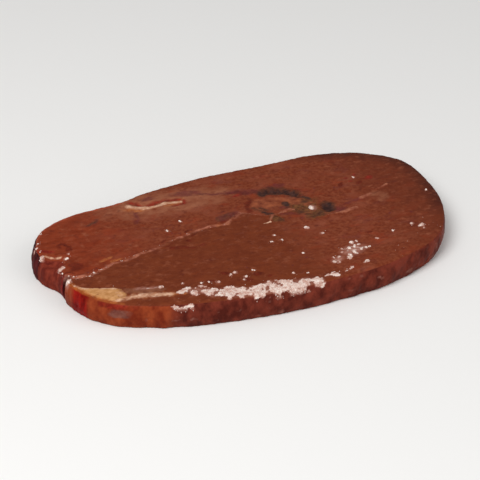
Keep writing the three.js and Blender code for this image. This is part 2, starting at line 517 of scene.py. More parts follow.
@dataclass(frozen=True)
class Lobes(Feature):
    """The two lobes: the front one is darker and more even, and the back one redder at its left.

    The back lobe is paler along its back rim and in one spot near the round end. Painted shade
    darkens the round end, most of all along its rim, and a thin orange line follows the back lobe's
    left rim.
    """

    parting: Trace = Trace(((-90, -6), (-77, -7.1), (-58.1, -1.8), (-40.2, 2.9), (-21.4, 7.7), (-9.4, 7.7),
                            (1.1, 14.0), (10.3, 8.6), (25.7, 7.5), (38, -2), (90, 6)))
    parting_edge: Fade = (0.4, -0.4)
    parting_stray: float = 0.3
    front_fades: Fade = (34.0, -5.0)
    red_end_fades: Fade = (-28.0, -78.0)
    pale: tuple[Blot, ...] = (Blot((-22.0, 33.0), (26.0, 8.5), -5), Blot((60.8, 4.4), (3.4, 3.6)))
    pale_stray: float = 2.0
    # Where the painted shade over the round end begins and where it is full, along X.
    end_shade_starts: Fade = (38.0, 84.0)
    # The painted shade band along the round end's rim: how far in, along X and across Y.
    shade_inset: Fade = (9.0, 0.5)
    shade_along: Fade = (30.0, 62.0)
    shade_across: Fade = (-24.0, -6.0)
    rim_line: float = 1.3
    rim_line_boost: float = 0.1
    rim_line_along: Fade = (-28.0, -42.0)
    rim_line_across: Fade = (15.0, 19.0)

    def marks(self, surface: Surface) -> dict[Mark, np.ndarray]:
        """Which lobe a point is in, and how far into each of their uneven parts.

        Args:
            surface: The slice's surface.

        Returns:
            The marks, from 0 to 1 at each point.
        """
        x, y = surface.plan.T
        parted = self.parting.measure(surface.strayed(self.parting_stray))[0]
        front = smoothstep(*self.parting_edge, parted)
        shade = smoothstep(*self.shade_inset, surface.inset) * smoothstep(*self.shade_along, x)
        left_rim = smoothstep(*self.rim_line_along, x) * smoothstep(*self.rim_line_across, y)
        rim = surface.near_skin(self.rim_line, self.rim_line_boost) * left_rim
        return {
            Mark.FRONT_LOBE: front * smoothstep(*self.front_fades, x) * surface.cuts,
            Mark.RED_END: (1 - front) * smoothstep(*self.red_end_fades, x) * surface.cuts,
            Mark.PALE: strongest(self.pale, surface.strayed(self.pale_stray)) * surface.cuts,
            # Painted shade over the round end, and below it a darker band of painted shade along the rim.
            Mark.ROUND_END: smoothstep(*self.end_shade_starts, x) * surface.cuts,
            Mark.SHADE: shade * smoothstep(*self.shade_across, y) * surface.cuts,
            Mark.RIM: rim * surface.upper,
        }


@dataclass(frozen=True)
class Skin(Feature):
    """The side wall: the liver's own skin, in low upright crags with pores, calmer near its top.

    Its lobed end is split by a cleft, painted near black as shade in it. Behind the cleft it is dark
    red, partly its own colour and partly painted shade, and torn below the bite. In front it is
    orange, with a red patch, a red band below the rim and a grey patch halfway up.
    """

    crags: Ripple = Ripple(0.2, (3.4, 3.4, 9.0), 1.9)
    fine_crags: Ripple = Ripple(0.09, (1.3, 1.3, 3.0), 14.2)
    ledges: Ripple = Ripple(0.14, (7.0, 7.0, 2.4), 27.5, 2)
    pores: Ripple = Ripple(1.0, (2.0, 2.0, 2.2), 40.6, 2)
    pore_edge: Fade = (0.3, 0.6)
    pore_depth: float = 0.25
    calm_top: Fade = (0.78, 0.97)
    calmer_by: float = 0.65
    # The cleft, where painted shade makes the skin near black.
    cleft: Trace = Trace(((-88, -6), (-78, -4)), 1.4)
    behind_cleft: Fade = (-6.5, -4.5)
    # Where the dark skin behind the cleft, its own colour plus painted shade, fades in along X.
    dark_end: Fade = (-66.0, -82.0)
    torn_across: Fade = (15.0, 10.0)
    torn_strength: float = 0.55
    orange_end: Fade = (-40.0, -64.0)
    red_patch: Blot = Blot((-80.2, -15.4), (3.6, 4.9), -30)
    red_streak: Blot = Blot((-84.4, -2.9), (3.0, 1.2))
    red_streak_strength: float = 0.8
    red_band: Trace = Trace(((-76.0, -25.0), (-71.8, -28.4), (-68.6, -30.2), (-64.4, -31.8)), 1.4)
    red_band_heights: Heights = (0.6, 0.78, 0.93, 1.0)
    red_band_strength: float = 0.85
    grey_patch: Blot = Blot((-70.0, -30.0), (4.2, 3.0), -30)
    grey_heights: Heights = (0.34, 0.46, 0.66, 0.78)

    def relief(self, surface: Surface) -> np.ndarray:
        """Crags, ledges and pores on the skin, which grow lower towards the upper cut.

        Args:
            surface: The slice's surface.

        Returns:
            How far each point moves out of the slice, in millimetres.
        """
        places = surface.places
        crags = self.crags.at(places) + self.fine_crags.at(places) + self.ledges.at(places)
        pores = -self.pore_depth * smoothstep(*self.pore_edge, self.pores.at(places))
        calm = 1 - self.calmer_by * surface.above(self.calm_top)
        return surface.wall * calm * (crags + pores)

    def marks(self, surface: Surface) -> dict[Mark, np.ndarray]:
        """Where the skin is, how it is coloured at both lobes' left ends, and the cleft.

        Args:
            surface: The slice's surface.

        Returns:
            The marks, from 0 to 1 at each point.
        """
        x, y = surface.strayed().T
        behind = smoothstep(*self.behind_cleft, surface.plan[:, 1]) * surface.wall
        front = surface.wall - behind
        dark = smoothstep(*self.dark_end, x) * behind
        patch, streak, grey = (blot.strength(surface.strayed())
                               for blot in (self.red_patch, self.red_streak, self.grey_patch))
        band = self.red_band_strength * self.red_band.strength(surface.plan)
        return {
            Mark.WALL: surface.wall,
            # Behind the cleft: dark red skin, darkened further with painted shade.
            Mark.LOBED_END: dark,
            Mark.TORN: self.torn_strength * dark * smoothstep(*self.torn_across, y),
            Mark.ORANGE_END: smoothstep(*self.orange_end, x) * front,
            Mark.RED_SKIN: np.maximum(patch * front, self.red_streak_strength * streak * behind),
            Mark.BLOOD: band * front * surface.between(self.red_band_heights),
            Mark.GREY_SKIN: grey * front * surface.between(self.grey_heights),
            # Painted shade inside the cleft.
            Mark.CLEFT: self.cleft.strength(surface.plan) * surface.wall,
        }


@dataclass(frozen=True)
class TornBite(Feature):
    """The bite out of the back lobe's left rim: torn red tissue, a thin pale line and red stains."""

    area: Blot = Blot((-83.4, 8.7), (7.4, 5.9), -14)
    floor: Patch = Patch(((-90.0, 14.0), (-84.6, 12.9), (-81.9, 12.1), (-79.6, 10.8), (-77.8, 8.6),
                          (-78.4, 5.2), (-80.2, 2.7), (-82.6, 0.8), (-90.0, 0.0)), 1.3)
    inner_line: Trace = Trace(((-84.0, 13.9), (-82.4, 13.4), (-80.7, 12.5), (-79.0, 11.3),
                               (-77.6, 10.1)), 0.42)
    line_strength: float = 0.7
    red: Trace = Trace(((-84.0, 18.0), (-82.0, 16.4), (-79.6, 15.0)), 1.0)
    stained: tuple[Trace | Blot, ...] = (
        Trace(((-75.9, 16.6), (-75.0, 18.8), (-72.9, 19.0), (-71.8, 16.6), (-73.0, 13.7)), 0.9),
        Blot((-75.3, 0.6), (2.6, 4.0), -10),
    )
    stray: float = 0.4
    tears: Ripple = Ripple(0.3, (2.4, 1.7, 2.4), 55.3)

    def relief(self, surface: Surface) -> np.ndarray:
        """Tears in the bite's floor."""
        return self.area.strength(surface.plan) * self.tears.at(surface.places) * surface.upper

    def marks(self, surface: Surface) -> dict[Mark, np.ndarray]:
        """The torn floor, the pale line along its inner edge, and the stains round it.

        Args:
            surface: The slice's surface.

        Returns:
            The marks, from 0 to 1 at each point.
        """
        ragged = surface.strayed(self.stray)
        return {
            Mark.TORN: self.floor.strength(ragged),
            Mark.LIP: self.line_strength * self.inner_line.strength(ragged) * surface.upper,
            Mark.BLOOD: self.red.strength(ragged) * surface.upper,
            Mark.STAIN: strongest(self.stained, surface.strayed()) * surface.upper,
        }


@dataclass(frozen=True)
class Seam(Feature):
    """The line where the lobes froze together: uneven pale tissue that nearly fills a groove."""

    line: Trace = Trace(((-82.9, -5.9), (-77.0, -7.1), (-58.1, -1.8), (-40.2, 2.9), (-21.4, 7.7),
                         (-9.4, 7.7), (1.1, 14.0)))
    core: Fade = (1.15, 0.1)
    tissue: Trace = Trace(((-80.4, -3.6), (-78.9, -5.8), (-76.8, -7.0), (-72.9, -6.9), (-70.2, -6.0),
                           (-66.4, -4.6), (-60.9, -2.3), (-55.6, -2.2), (-51.1, -0.6), (-48.4, 0.5),
                           (-44.5, 0.7), (-38.6, 2.3), (-32.5, 4.9), (-25.8, 6.3), (-21.7, 7.5),
                           (-16.2, 8.5), (-11.4, 8.2), (-7.6, 7.5), (-4.5, 9.6), (-0.2, 12.3),
                           (1.9, 13.5)), 0.9, 4)
    knots: tuple[Blot, ...] = (
        Blot((-76.8, -6.6), (3.4, 1.1)), Blot((-72.9, -6.9), (0.9, 0.7)), Blot((-70.2, -6.0), (0.9, 0.7)),
        Blot((-65.6, -4.2), (2.4, 0.8), 28), Blot((-50.2, -0.2), (1.9, 0.9), 36),
        Blot((-29.4, 5.9), (1.2, 0.8), 12), Blot((-24.6, 6.8), (1.2, 0.9), 24),
        Blot((-15.6, 8.5), (2.4, 0.8), 6), Blot((1.7, 13.4), (0.9, 0.8)))
    faint_lines: tuple[Trace, ...] = (
        Trace(((1.1, 14.0), (4.7, 12.0), (8.0, 9.4), (11.3, 7.5), (14.0, 7.0)), 0.5),
        Trace(((14.0, 7.0), (16.2, 7.2), (19.0, 8.3), (21.4, 8.7), (23.0, 8.0)), 0.65),
        Trace(((13.4, 7.0), (11.2, 4.2), (9.4, 2.4)), 0.5),
        Trace(((33.7, -2.4), (40.2, -2.0)), 0.3),
        Trace(((40.2, -2.1), (43.6, -1.4), (47.4, -1.2)), 0.9),
        Trace(((52.5, 5.0), (55.3, 5.8), (58.2, 6.6)), 0.8),
        Trace(((61.8, 8.9), (64.8, 9.7), (68.0, 10.7)), 0.35),
    )
    kink: Trace = Trace(((-11.4, 8.0), (-8.0, 7.4), (-5.6, 8.6)), 0.7)
    amber_spots: tuple[Blot, ...] = (
        Blot((-62.6, 1.8), (3.4, 0.8), 14),
        Blot((-59.2, -0.3), (2.4, 1.0), 14),
    )
    stained: tuple[Trace | Blot, ...] = (
        Blot((-7.4, 10.3), (1.8, 0.9), 20), Blot((-26.5, 2.0), (1.2, 0.9)), Blot((-22.2, -2.6), (1.8, 0.9)),
        Trace(((-35.2, -0.9), (-31.0, -1.7), (-27.0, -2.9)), 1.2))
    # Painted shade beside the seam: how far from the line, where the line thins, and how strong.
    groove_shade_gap: float = 1.9
    groove_shade_where_thin: Fade = (0.0, 0.4)
    groove_shade_strength: float = 0.9
    stray: float = 0.35
    faint_stray: float = 0.6
    lumps: Ripple = Ripple(0.3, (1.7, 1.3, 1.7), 24.8)
    lump_mean: float = 0.85
    swells: Ripple = Ripple(0.5, (5.0, 1.0, 1.0), 0.0, 2)
    swell_track: Point = (0.37, 1.61)
    swell_mean: float = 0.72
    fill: float = 0.62
    faint_fill: float = 0.42

    def relief(self, surface: Surface) -> np.ndarray:
        """Lumpy tissue that fills most of the groove.

        Args:
            surface: The slice's surface.

        Returns:
            How far each point moves out of the slice, in millimetres.
        """
        rise = np.zeros(len(surface.places))
        fills = (self.fill, *[self.faint_fill] * len(self.faint_lines))
        lumps = self.lump_mean + self.lumps.at(surface.places)
        for line, fill in zip((self.line, *self.faint_lines), fills):
            core = smoothstep(*self.core, np.abs(line.measure(surface.plan)[0]))
            rise = np.maximum(rise, fill * core * lumps)
        return rise * surface.upper

    def marks(self, surface: Surface) -> dict[Mark, np.ndarray]:
        """The pale main line, which comes and goes, fainter lines past it, amber spots and stains, and
        painted shade along both sides of the line where it thins.

        Args:
            surface: The slice's surface.

        Returns:
            The marks, from 0 to 1 at each point.
        """
        ragged, strayed = surface.strayed(self.stray), surface.strayed()
        gap, along = self.tissue.measure(ragged)
        track = np.column_stack([along, *(np.full(len(along), place) for place in self.swell_track)])
        swell = self.swells.at(track)
        line = self.tissue.strength(ragged) * (self.swell_mean + swell)
        # Painted shade along both sides of the seam's groove, where its pale tissue thins.
        beside = np.clip(1 - np.abs(np.abs(gap) - self.groove_shade_gap), 0, 1)
        beside *= self.groove_shade_strength * smoothstep(*self.groove_shade_where_thin, -swell / self.swells.height)
        return {
            Mark.SEAM: np.clip(np.maximum(line, strongest(self.knots, ragged)), 0, 1) * surface.cuts,
            Mark.FAR_SEAM: strongest(self.faint_lines, surface.strayed(self.faint_stray)) * surface.cuts,
            Mark.AMBER: strongest((self.kink, *self.amber_spots), strayed) * surface.cuts,
            # Painted shade beside the groove, together with real stains.
            Mark.STAIN: np.maximum(beside, strongest(self.stained, strayed)) * surface.cuts,
        }


@dataclass(frozen=True)
class FatStrip(Feature):
    """The cream strip of fat along the front lobe's left rim.

    It is pale along its inner edge, with a painted highlight there, and amber where it meets the skin,
    and thins out to its right, where it ends bluntly in a greyer patch. One peach strand runs on from
    its corner and tapers off in amber, and the tissue behind the strand glows amber.
    """

    area: Patch = Patch(((-83.5, -6.6), (-81.8, -8.0), (-81.0, -10.6), (-80.0, -12.8), (-78.6, -14.4),
                         (-76.2, -15.8), (-72.4, -17.4), (-68.0, -18.9), (-64.6, -20.4), (-65.2, -22.6),
                         (-64.4, -25.4), (-66.6, -27.6), (-72.0, -28.8), (-77.0, -25.0), (-81.0, -18.0),
                         (-83.5, -11.0)), 1.4)
    # Along the inner edge: pale fat with a painted highlight.
    inner_edge: Trace = Trace(((-82.0, -8.2), (-81.2, -11.2), (-79.6, -14.0), (-77.0, -16.0), (-73.6, -17.4),
                               (-69.6, -18.8), (-66.6, -20.6)), 0.8)
    inner_edge_strength: float = 0.6
    strand: Trace = Trace(((-71.0, -27.7), (-68.0, -27.5), (-64.5, -27.6), (-61.7, -27.7), (-58.5, -28.8),
                           (-55.4, -29.8), (-52.3, -30.9), (-49.4, -31.7), (-47.6, -31.9)), 1.7)
    strand_starts: Fade = (-67.0, -60.0)
    strand_start: float = 0.75
    strand_ends: Fade = (-45.0, -50.0)
    strand_pale: float = 0.78
    strand_amber: float = 0.8
    glow: Trace = Trace(((-62.4, -26.2), (-58.6, -27.1), (-54.8, -28.2), (-51.0, -29.6)), 1.3)
    glow_strength: float = 0.6
    pale_end: Blot = Blot((-67.4, -23.4), (2.6, 4.0))
    pale_end_strength: float = 0.4
    amber_end: Trace = Trace(((-50.0, -31.6), (-47.0, -32.4), (-44.8, -33.4)), 0.9)
    blunt_end: Patch = Patch(((-66.2, -19.8), (-60.6, -22.0), (-54.0, -24.4), (-49.0, -27.2), (-52.0, -28.6),
                              (-58.0, -27.4), (-66.0, -25.4)), 2.2)
    blunt_end_starts: Fade = (-72.0, -60.0)
    strip_inset: Fade = (0.4, 2.0)
    thins: Fade = (-64.4, -70.5)
    thin_share: float = 0.4
    edge_width: float = 1.3
    edge_along: Fade = (-65.0, -71.0)
    edge_across: Fade = (-6.5, -8.5)
    edge_top: Fade = (0.82, 0.93)
    swells: Ripple = Ripple(0.05, (4.0, 3.0, 4.0), 51.2)
    stand: float = 0.16
    strand_stand: float = 0.25
    stray: float = 0.4
    relief_stray: float = 0.3

    def relief(self, surface: Surface) -> np.ndarray:
        """The strip stands a little proud of the cut, in low swells, and the strand less so.

        Args:
            surface: The slice's surface.

        Returns:
            How far each point moves out of the slice, in millimetres.
        """
        plan = surface.strayed(self.relief_stray)
        strip = np.maximum(self.area.strength(plan), self.strand_stand * self.strand.strength(plan))
        return strip * surface.upper * (self.stand + self.swells.at(surface.places))

    def marks(self, surface: Surface) -> dict[Mark, np.ndarray]:
        """The strip, its pale edge and strand, its greyer end, and where it is amber.

        Args:
            surface: The slice's surface.

        Returns:
            The marks, from 0 to 1 at each point.
        """
        x, y = surface.plan.T
        ragged, strayed = surface.strayed(self.stray), surface.strayed()
        edge = surface.near_skin(self.edge_width) * smoothstep(*self.edge_along, x)
        strand = self.strand.strength(ragged) * smoothstep(*self.strand_ends, x)
        strand *= growing(self.strand_start, self.strand_starts, x)
        strip = self.area.strength(ragged) * smoothstep(*self.strip_inset, surface.inset)
        blunt = self.blunt_end.strength(ragged)
        # The inner edge's share is a painted highlight on pale fat.
        pale = (self.inner_edge_strength * self.inner_edge.strength(ragged), self.strand_pale * strand,
                self.pale_end_strength * self.pale_end.strength(strayed))
        amber = (self.amber_end.strength(ragged), self.strand_amber * strand,
                 self.glow_strength * self.glow.strength(strayed))
        return {
            Mark.FAT: strip * growing(self.thin_share, self.thins, x) * surface.cuts,
            Mark.FAT_END: blunt * smoothstep(*self.blunt_end_starts, x) * surface.cuts,
            Mark.FAT_EDGE: edge * smoothstep(*self.edge_across, y) * surface.above(self.edge_top),
            Mark.LIP: np.max(pale, axis=0) * surface.cuts,
            Mark.AMBER: np.max(amber, axis=0) * surface.cuts,
        }


@dataclass(frozen=True)
class Veins(Feature):
    """Cut veins with dark set blood, the orange-brown oval between them, bruises and pin-holes.

    Faint veins are thinner blood, clouded tissue is olive, and the smallest spots are red.
    """

    dark: tuple[Trace | Blot, ...] = (
        Trace(((16.6, 24.6), (19.6, 25.6), (22.4, 25.3), (25.2, 23.4), (27.6, 21.0), (29.4, 19.2)), 2.1),
        Blot((37.6, 4.8), (2.9, 3.2), 10),
        Blot((22.3, 13.2), (1.3, 2.2), 0),
        Trace(((10.6, 10.6), (11.8, 9.4), (13.6, 8.6)), 0.9),
        Trace(((28.5, 19.8), (30.1, 17.6), (31.5, 15.4), (32.7, 13.1)), 0.7),
    )
    faint: tuple[Trace | Blot, ...] = (
        Trace(((-58.8, 28.7), (-56.6, 29.9), (-53.6, 31.4)), 0.75),
        Trace(((29.4, 19.2), (31.2, 16.4), (32.4, 12.8)), 1.3),
        Trace(((8.2, 14.8), (9.6, 12.4), (11.2, 10.2)), 1.2),
        Blot((30.6, 1.2), (4.0, 1.7), 20),
        Blot((24.6, 5.0), (2.0, 1.2), -30),
        Blot((12.2, 12.8), (2.8, 1.3), -50),
        Blot((15.0, 1.4), (1.8, 1.0), -50),
        Blot((29.4, 11.4), (1.6, 1.2), 20),
        Blot((26.6, 2.2), (1.4, 0.8), 0),
    )
    faint_strength: float = 0.55
    bruised: tuple[Trace | Blot, ...] = (
        Trace(((-59.0, 28.4), (-56.6, 29.8), (-53.8, 31.2)), 1.0),
        Blot((-5.0, 13.0), (5.6, 1.9), 16),
        Blot((-12.0, 36.6), (6.0, 2.4), -12),
        Trace(((-17.0, 38.2), (-7.6, 34.7), (-2.3, 32.0), (3.1, 30.6), (9.0, 29.4), (15.0, 27.4)), 1.1),
        Trace(((3.4, 31.0), (7.0, 30.4), (9.6, 29.6)), 1.5),
        Blot((13.0, 27.4), (4.8, 1.9), -8),
        Blot((24.0, 27.8), (4.6, 1.8), -8),
        Blot((20.6, 11.0), (2.2, 1.4), -20),
        Trace(((17.4, 6.2), (20.1, 5.2), (22.8, 3.8)), 0.9),
        Blot((-28.2, 38.4), (3.6, 1.5), 0),
        Trace(((-37.0, 30.0), (-38.3, 26.1), (-40.3, 22.6)), 1.0),
        Blot((40.6, 1.0), (2.8, 2.2), 0),
        Trace(((39.6, 1.4), (43.8, 3.0), (47.8, 3.7), (51.4, 4.4)), 0.9),
    )
    clouded: tuple[Blot, ...] = (
        Blot((27.6, 8.6), (7.6, 5.6), -45),
        Blot((13.2, 3.8), (3.4, 2.0), -70),
        Blot((-5.4, 13.0), (4.4, 1.7), 22),
        Blot((29.4, 11.4), (6.4, 2.8), 0),
        Blot((31.0, 1.2), (6.0, 3.0), 18),
    )
    mottled: tuple[Blot, ...] = (
        Blot((13.8, 15.6), (7.0, 4.6), -22),
        Blot((20.8, 18.2), (4.6, 1.8), -30),
        Blot((26.4, 13.4), (3.6, 3.2), -30),
        Blot((30.6, 9.4), (2.6, 1.6), 0),
    )
    red: tuple[Blot, ...] = (
        Blot((63.6, 19.2), (2.4, 1.0), 0),
        Blot((58.8, 24.0), (1.0, 0.7), 0),
        Blot((54.8, 21.8), (1.3, 0.9), 0),
        Blot((55.4, 19.0), (1.0, 0.7), 0),
        Blot((6.8, 26.8), (2.2, 1.2), 8),
    )
    red_strength: float = 0.75
    streak: Trace = Trace(((7.2, 1.9), (8.4, 2.1), (9.8, 2.2)), 0.5)
    streak_strength: float = 0.75
    stained: tuple[Trace | Blot, ...] = (
        Trace(((5.9, 13.3), (6.9, 17.8), (9.7, 21.6)), 1.3),
        Trace(((4.6, 30.4), (7.8, 28.9), (9.8, 28.2)), 1.1),
        Blot((58.0, 17.0), (2.2, 1.0), 10),
        Blot((-31.3, -29.0), (2.0, 1.0), -16),
        Blot((-24.3, -26.0), (2.2, 1.2), -20),
        Blot((-17.6, -33.6), (1.8, 0.9), -16),
        Blot((-12.6, -31.4), (2.0, 1.3), -24),
        Blot((-8.4, -34.4), (1.5, 1.0), -10),
        Blot((50.4, 18.4), (0.8, 1.6), -30),
        Blot((42.4, -20.0), (1.8, 0.9), -16),
    )
    pin_holes: tuple[Point, ...] = (
        (-30.4, 9.6), (-27.6, 8.4), (-22.0, 9.2), (-36.6, 14.0), (-28.4, 13.2), (-68.6, -3.4), (-72.6, -4.8),
        (18.6, 2.4), (23.0, 0.0), (28.2, -3.2), (50.2, -14.6), (57.6, -10.4), (66.0, -13.2), (46.8, 17.4),
        (38.6, 19.8), (10.2, -28.4), (-14.6, -25.8), (-26.0, -24.2), (2.6, -31.4), (31.0, -20.6))
    hole_size: float = 0.55
    wrinkles: Ripple = Ripple(0.24, (1.9, 1.3, 1.9), 61.9)
    oval_lumps: float = 0.3
    relief_stray: float = 0.5
    dark_stray: float = 0.6

    def relief(self, surface: Surface) -> np.ndarray:
        """Wrinkled floors in the veins, and a lumpy oval.

        Args:
            surface: The slice's surface.

        Returns:
            How far each point moves out of the slice, in millimetres.
        """
        plan = surface.strayed(self.relief_stray)
        soft = np.maximum(strongest(self.dark, plan), self.oval_lumps * strongest(self.mottled, plan))
        return surface.upper * soft * self.wrinkles.at(surface.places)

    def marks(self, surface: Surface) -> dict[Mark, np.ndarray]:
        """Where the blood, the bruises, the clouded tissue, the oval and the spots are.

        Args:
            surface: The slice's surface.

        Returns:
            The marks, from 0 to 1 at each point.
        """
        plan, cuts = surface.strayed(), surface.cuts
        holes = tuple(Blot(hole, (self.hole_size, self.hole_size)) for hole in self.pin_holes)
        dark = strongest(self.dark, surface.strayed(self.dark_stray))
        return {
            Mark.VEIN: np.maximum(dark, self.faint_strength * strongest(self.faint, plan)) * cuts,
            Mark.BRUISE: np.maximum(strongest(self.bruised, plan), strongest(holes, surface.plan)) * cuts,
            Mark.OLIVE: strongest(self.clouded, plan) * cuts,
            Mark.OVAL: strongest(self.mottled, plan) * cuts,
            Mark.BLOOD: self.red_strength * strongest(self.red, plan) * cuts,
            Mark.STAIN: strongest(self.stained, plan) * cuts,
            Mark.LIP: self.streak_strength * self.streak.strength(plan) * cuts,
        }


def strongest(shapes: tuple[Trace | Blot | Patch, ...], plan: np.ndarray) -> np.ndarray:
    """The strongest of several marks at each place."""
    return np.max([shape.strength(plan) for shape in shapes], axis=0)


@dataclass(frozen=True)
class BackChip(Feature):
    """A long chip inside the back rim: a blood-red cut, with a pale lip along its front.

    The lip is thinner at its right, and amber glows at both its ends.
    """

    cuts: tuple[Trace, ...] = (
        Trace(((-36.2, 38.8), (-34.0, 36.9), (-31.5, 35.3), (-28.8, 34.8), (-26.3, 35.0), (-22.8, 35.0),
               (-19.4, 34.2), (-16.2, 33.0)), 1.0),
        Trace(((-20.8, 29.4), (-17.9, 29.2), (-15.4, 30.2), (-14.6, 31.6)), 0.9),
    )
    lip: Trace = Trace(((-38.0, 35.6), (-36.9, 34.2), (-33.7, 32.6), (-31.4, 32.0), (-28.4, 31.7),
                        (-25.4, 32.1), (-23.4, 32.4)), 1.25)
    thin_lip: Trace = Trace(((-22.6, 32.2), (-20.4, 31.7), (-18.3, 31.4), (-16.4, 31.2)), 0.6)
    glows: tuple[Trace, ...] = (
        Trace(((-23.0, 31.4), (-20.6, 31.0), (-18.3, 31.4), (-15.8, 32.2)), 1.7),
        Trace(((-40.6, 34.4), (-37.3, 32.2), (-33.8, 30.8)), 1.0),
    )
    sink: float = 0.35
    lip_height: float = 0.4
    cut_strength: float = 0.8
    glow_strength: float = 0.8
    stray: float = 0.4
    cut_stray: float = 0.6

    def relief(self, surface: Surface) -> np.ndarray:
        """The cuts are sunk and the lip stands up.

        Args:
            surface: The slice's surface.

        Returns:
            How far each point moves out of the slice, in millimetres.
        """
        plan = surface.strayed(self.stray)
        sunk = -self.sink * strongest(self.cuts, plan)
        return surface.upper * (sunk + self.lip_height * self.lip.strength(plan))

    def marks(self, surface: Surface) -> dict[Mark, np.ndarray]:
        """The red cuts, the lip and its amber glows.

        Args:
            surface: The slice's surface.

        Returns:
            The marks, from 0 to 1 at each point.
        """
        cut = self.cut_strength * strongest(self.cuts, surface.strayed(self.cut_stray))
        lip = strongest((self.lip, self.thin_lip), surface.strayed(self.stray))
        glow = self.glow_strength * strongest(self.glows, surface.strayed())
        return {
            Mark.BLOOD: cut * surface.upper,
            Mark.LIP: lip * surface.upper,
            Mark.AMBER: glow * surface.upper,
        }


@dataclass(frozen=True)
class FrostCrust(Feature):
    """Frost: a ragged crust over the front rim, in a thin haze, and patches of crust beside it.

    It is thin round the large flakes and on the cleft's edges, and dusts the skin in front.
    """

    band: Patch = Patch(((-46.5, -32.0), (-45.3, -29.8), (-42.5, -30.5), (-37.6, -30.8), (-34.9, -33.2),
                         (-31.8, -34.5), (-26.9, -35.5), (-23.7, -37.4), (-17.5, -40.0), (-10.9, -37.8),
                         (-6.4, -40.2), (-1.8, -40.8), (3.6, -41.6), (9.0, -44.0), (8.0, -47.0),
                         (0.0, -47.5), (-12.0, -46.5), (-24.0, -44.5), (-32.4, -41.6), (-35.6, -39.2),
                         (-38.9, -36.6), (-42.5, -34.8)), 2.6)
    patches: tuple[Blot | Trace, ...] = (
        Blot((-49.0, -40.0), (3.6, 0.8), -16),
        Blot((26.4, -34.4), (1.8, 0.9), 14),
        Blot((19.4, -36.4), (1.6, 0.8), 10),
        Blot((13.6, -43.8), (3.2, 1.3), 8),
        Blot((21.4, -42.4), (2.2, 0.9), 10),
        Blot((31.0, -40.2), (1.6, 0.7), 14),
        Blot((64.6, -24.0), (1.5, 0.9), 20),
        Blot((-84.2, 20.6), (0.5, 0.7)),
        Blot((-84.1, 13.7), (0.8, 0.6)),
        Blot((-80.7, 2.5), (1.5, 0.7), 8),
        Blot((-81.4, -7.2), (1.2, 1.2)),
    )
    thin: tuple[Blot | Trace, ...] = (
        Trace(((-60.6, -22.7), (-57.6, -23.5), (-55.1, -24.3), (-51.2, -25.1)), 0.9),
        Trace(((-81.6, -3.6), (-82.6, -5.6), (-81.6, -8.0)), 0.8),
        Blot((-83.2, -0.4), (1.1, 0.9)),
        Blot((30.0, -30.2), (6.0, 3.4), 12),
        Blot((21.0, -34.4), (3.4, 1.8), 20),
    )
    thin_strength: float = 0.5
    haze: float = 0.37
    cleft_edges: tuple[Blot, ...] = (Blot((-83.0, -8.2), (1.1, 1.2)), Blot((-81.2, -4.6), (2.4, 1.8)))
    cleft_edge_top: Fade = (0.4, 0.9)
    cleft_edge_strength: float = 0.42
    round_halves: Point = (0.5, 0.55)
    lumps: Ripple = Ripple(1.4, (1.5, 1.2, 1.5), 71.4, 2)
    ragged: Ripple = Ripple(1.5, (3.0, 2.4, 3.0), 80.2, 3)
    ragged_from: Fade = (0.0, 0.4)
    crust_edge: Fade = (0.38, 0.85)
    crust_top: Fade = (0.6, 0.92)
    thickness: float = 0.15
    dusting: Ripple = Ripple(1.0, (5.0, 5.0, 3.0), 91.5)
    dusting_edge: Fade = (0.3, 0.7)
    dusting_along: Fade = (-66.0, -58.0)
    dusting_front_of: float = -8.0
    dusting_strength: float = 0.25
    stray: float = 0.4

    def density(self, surface: Surface) -> np.ndarray:
        """How thick the frost lies at each point.

        Args:
            surface: The slice's surface.

        Returns:
            From 0, bare, to 1, a full crust.
        """
        soft = strongest((self.band, *self.patches), surface.strayed())
        crust = soft + self.ragged.at(surface.places) * smoothstep(*self.ragged_from, soft)
        where = np.maximum(surface.upper, surface.wall * surface.above(self.crust_top))
        return smoothstep(*self.crust_edge, crust) * where

    def relief(self, surface: Surface) -> np.ndarray:
        """A lumpy crust."""
        return self.density(surface) * self.thickness * (1 + self.lumps.at(surface.places))

    def marks(self, surface: Surface) -> dict[Mark, np.ndarray]:
        """Where the frost lies, thick or thin.

        Args:
            surface: The slice's surface.

        Returns:
            The frost's mark, from 0 to 1 at each point.
        """
        plan = surface.strayed(self.stray)
        dusted = smoothstep(*self.dusting_edge, self.dusting.at(surface.places))
        dusted *= smoothstep(*self.dusting_along, plan[:, 0]) * (plan[:, 1] < self.dusting_front_of)
        edge = strongest(self.cleft_edges, plan) * surface.above(self.cleft_edge_top)
        on_skin = np.maximum(self.dusting_strength * dusted, self.cleft_edge_strength * edge)
        long, wide = self.round_halves
        rounds = tuple(Blot((x, y), (long * width, wide * width)) for x, y, width in FLAKES)
        thin = np.maximum(self.thin_strength * strongest((*self.thin, *rounds), plan),
                          self.haze * self.band.strength(surface.strayed()))
        frost = (self.density(surface), on_skin * surface.wall, thin * surface.upper)
        return {Mark.FROST: np.max(frost, axis=0)}


@dataclass(frozen=True)
class Coat:
    """One tissue of the slice: it shows where its mark is strong, over the coats before it.

    Noise of its grain frays it: with no mark it shows all over, in blotches of that grain.
    """

    mark: Mark | None
    light: str
    dark: str
    grain: Grain
    fray: float = 1.0
    edge: Point = (0.42, 0.58)
    cover: float = 1.0
    roughness: float = 0.62


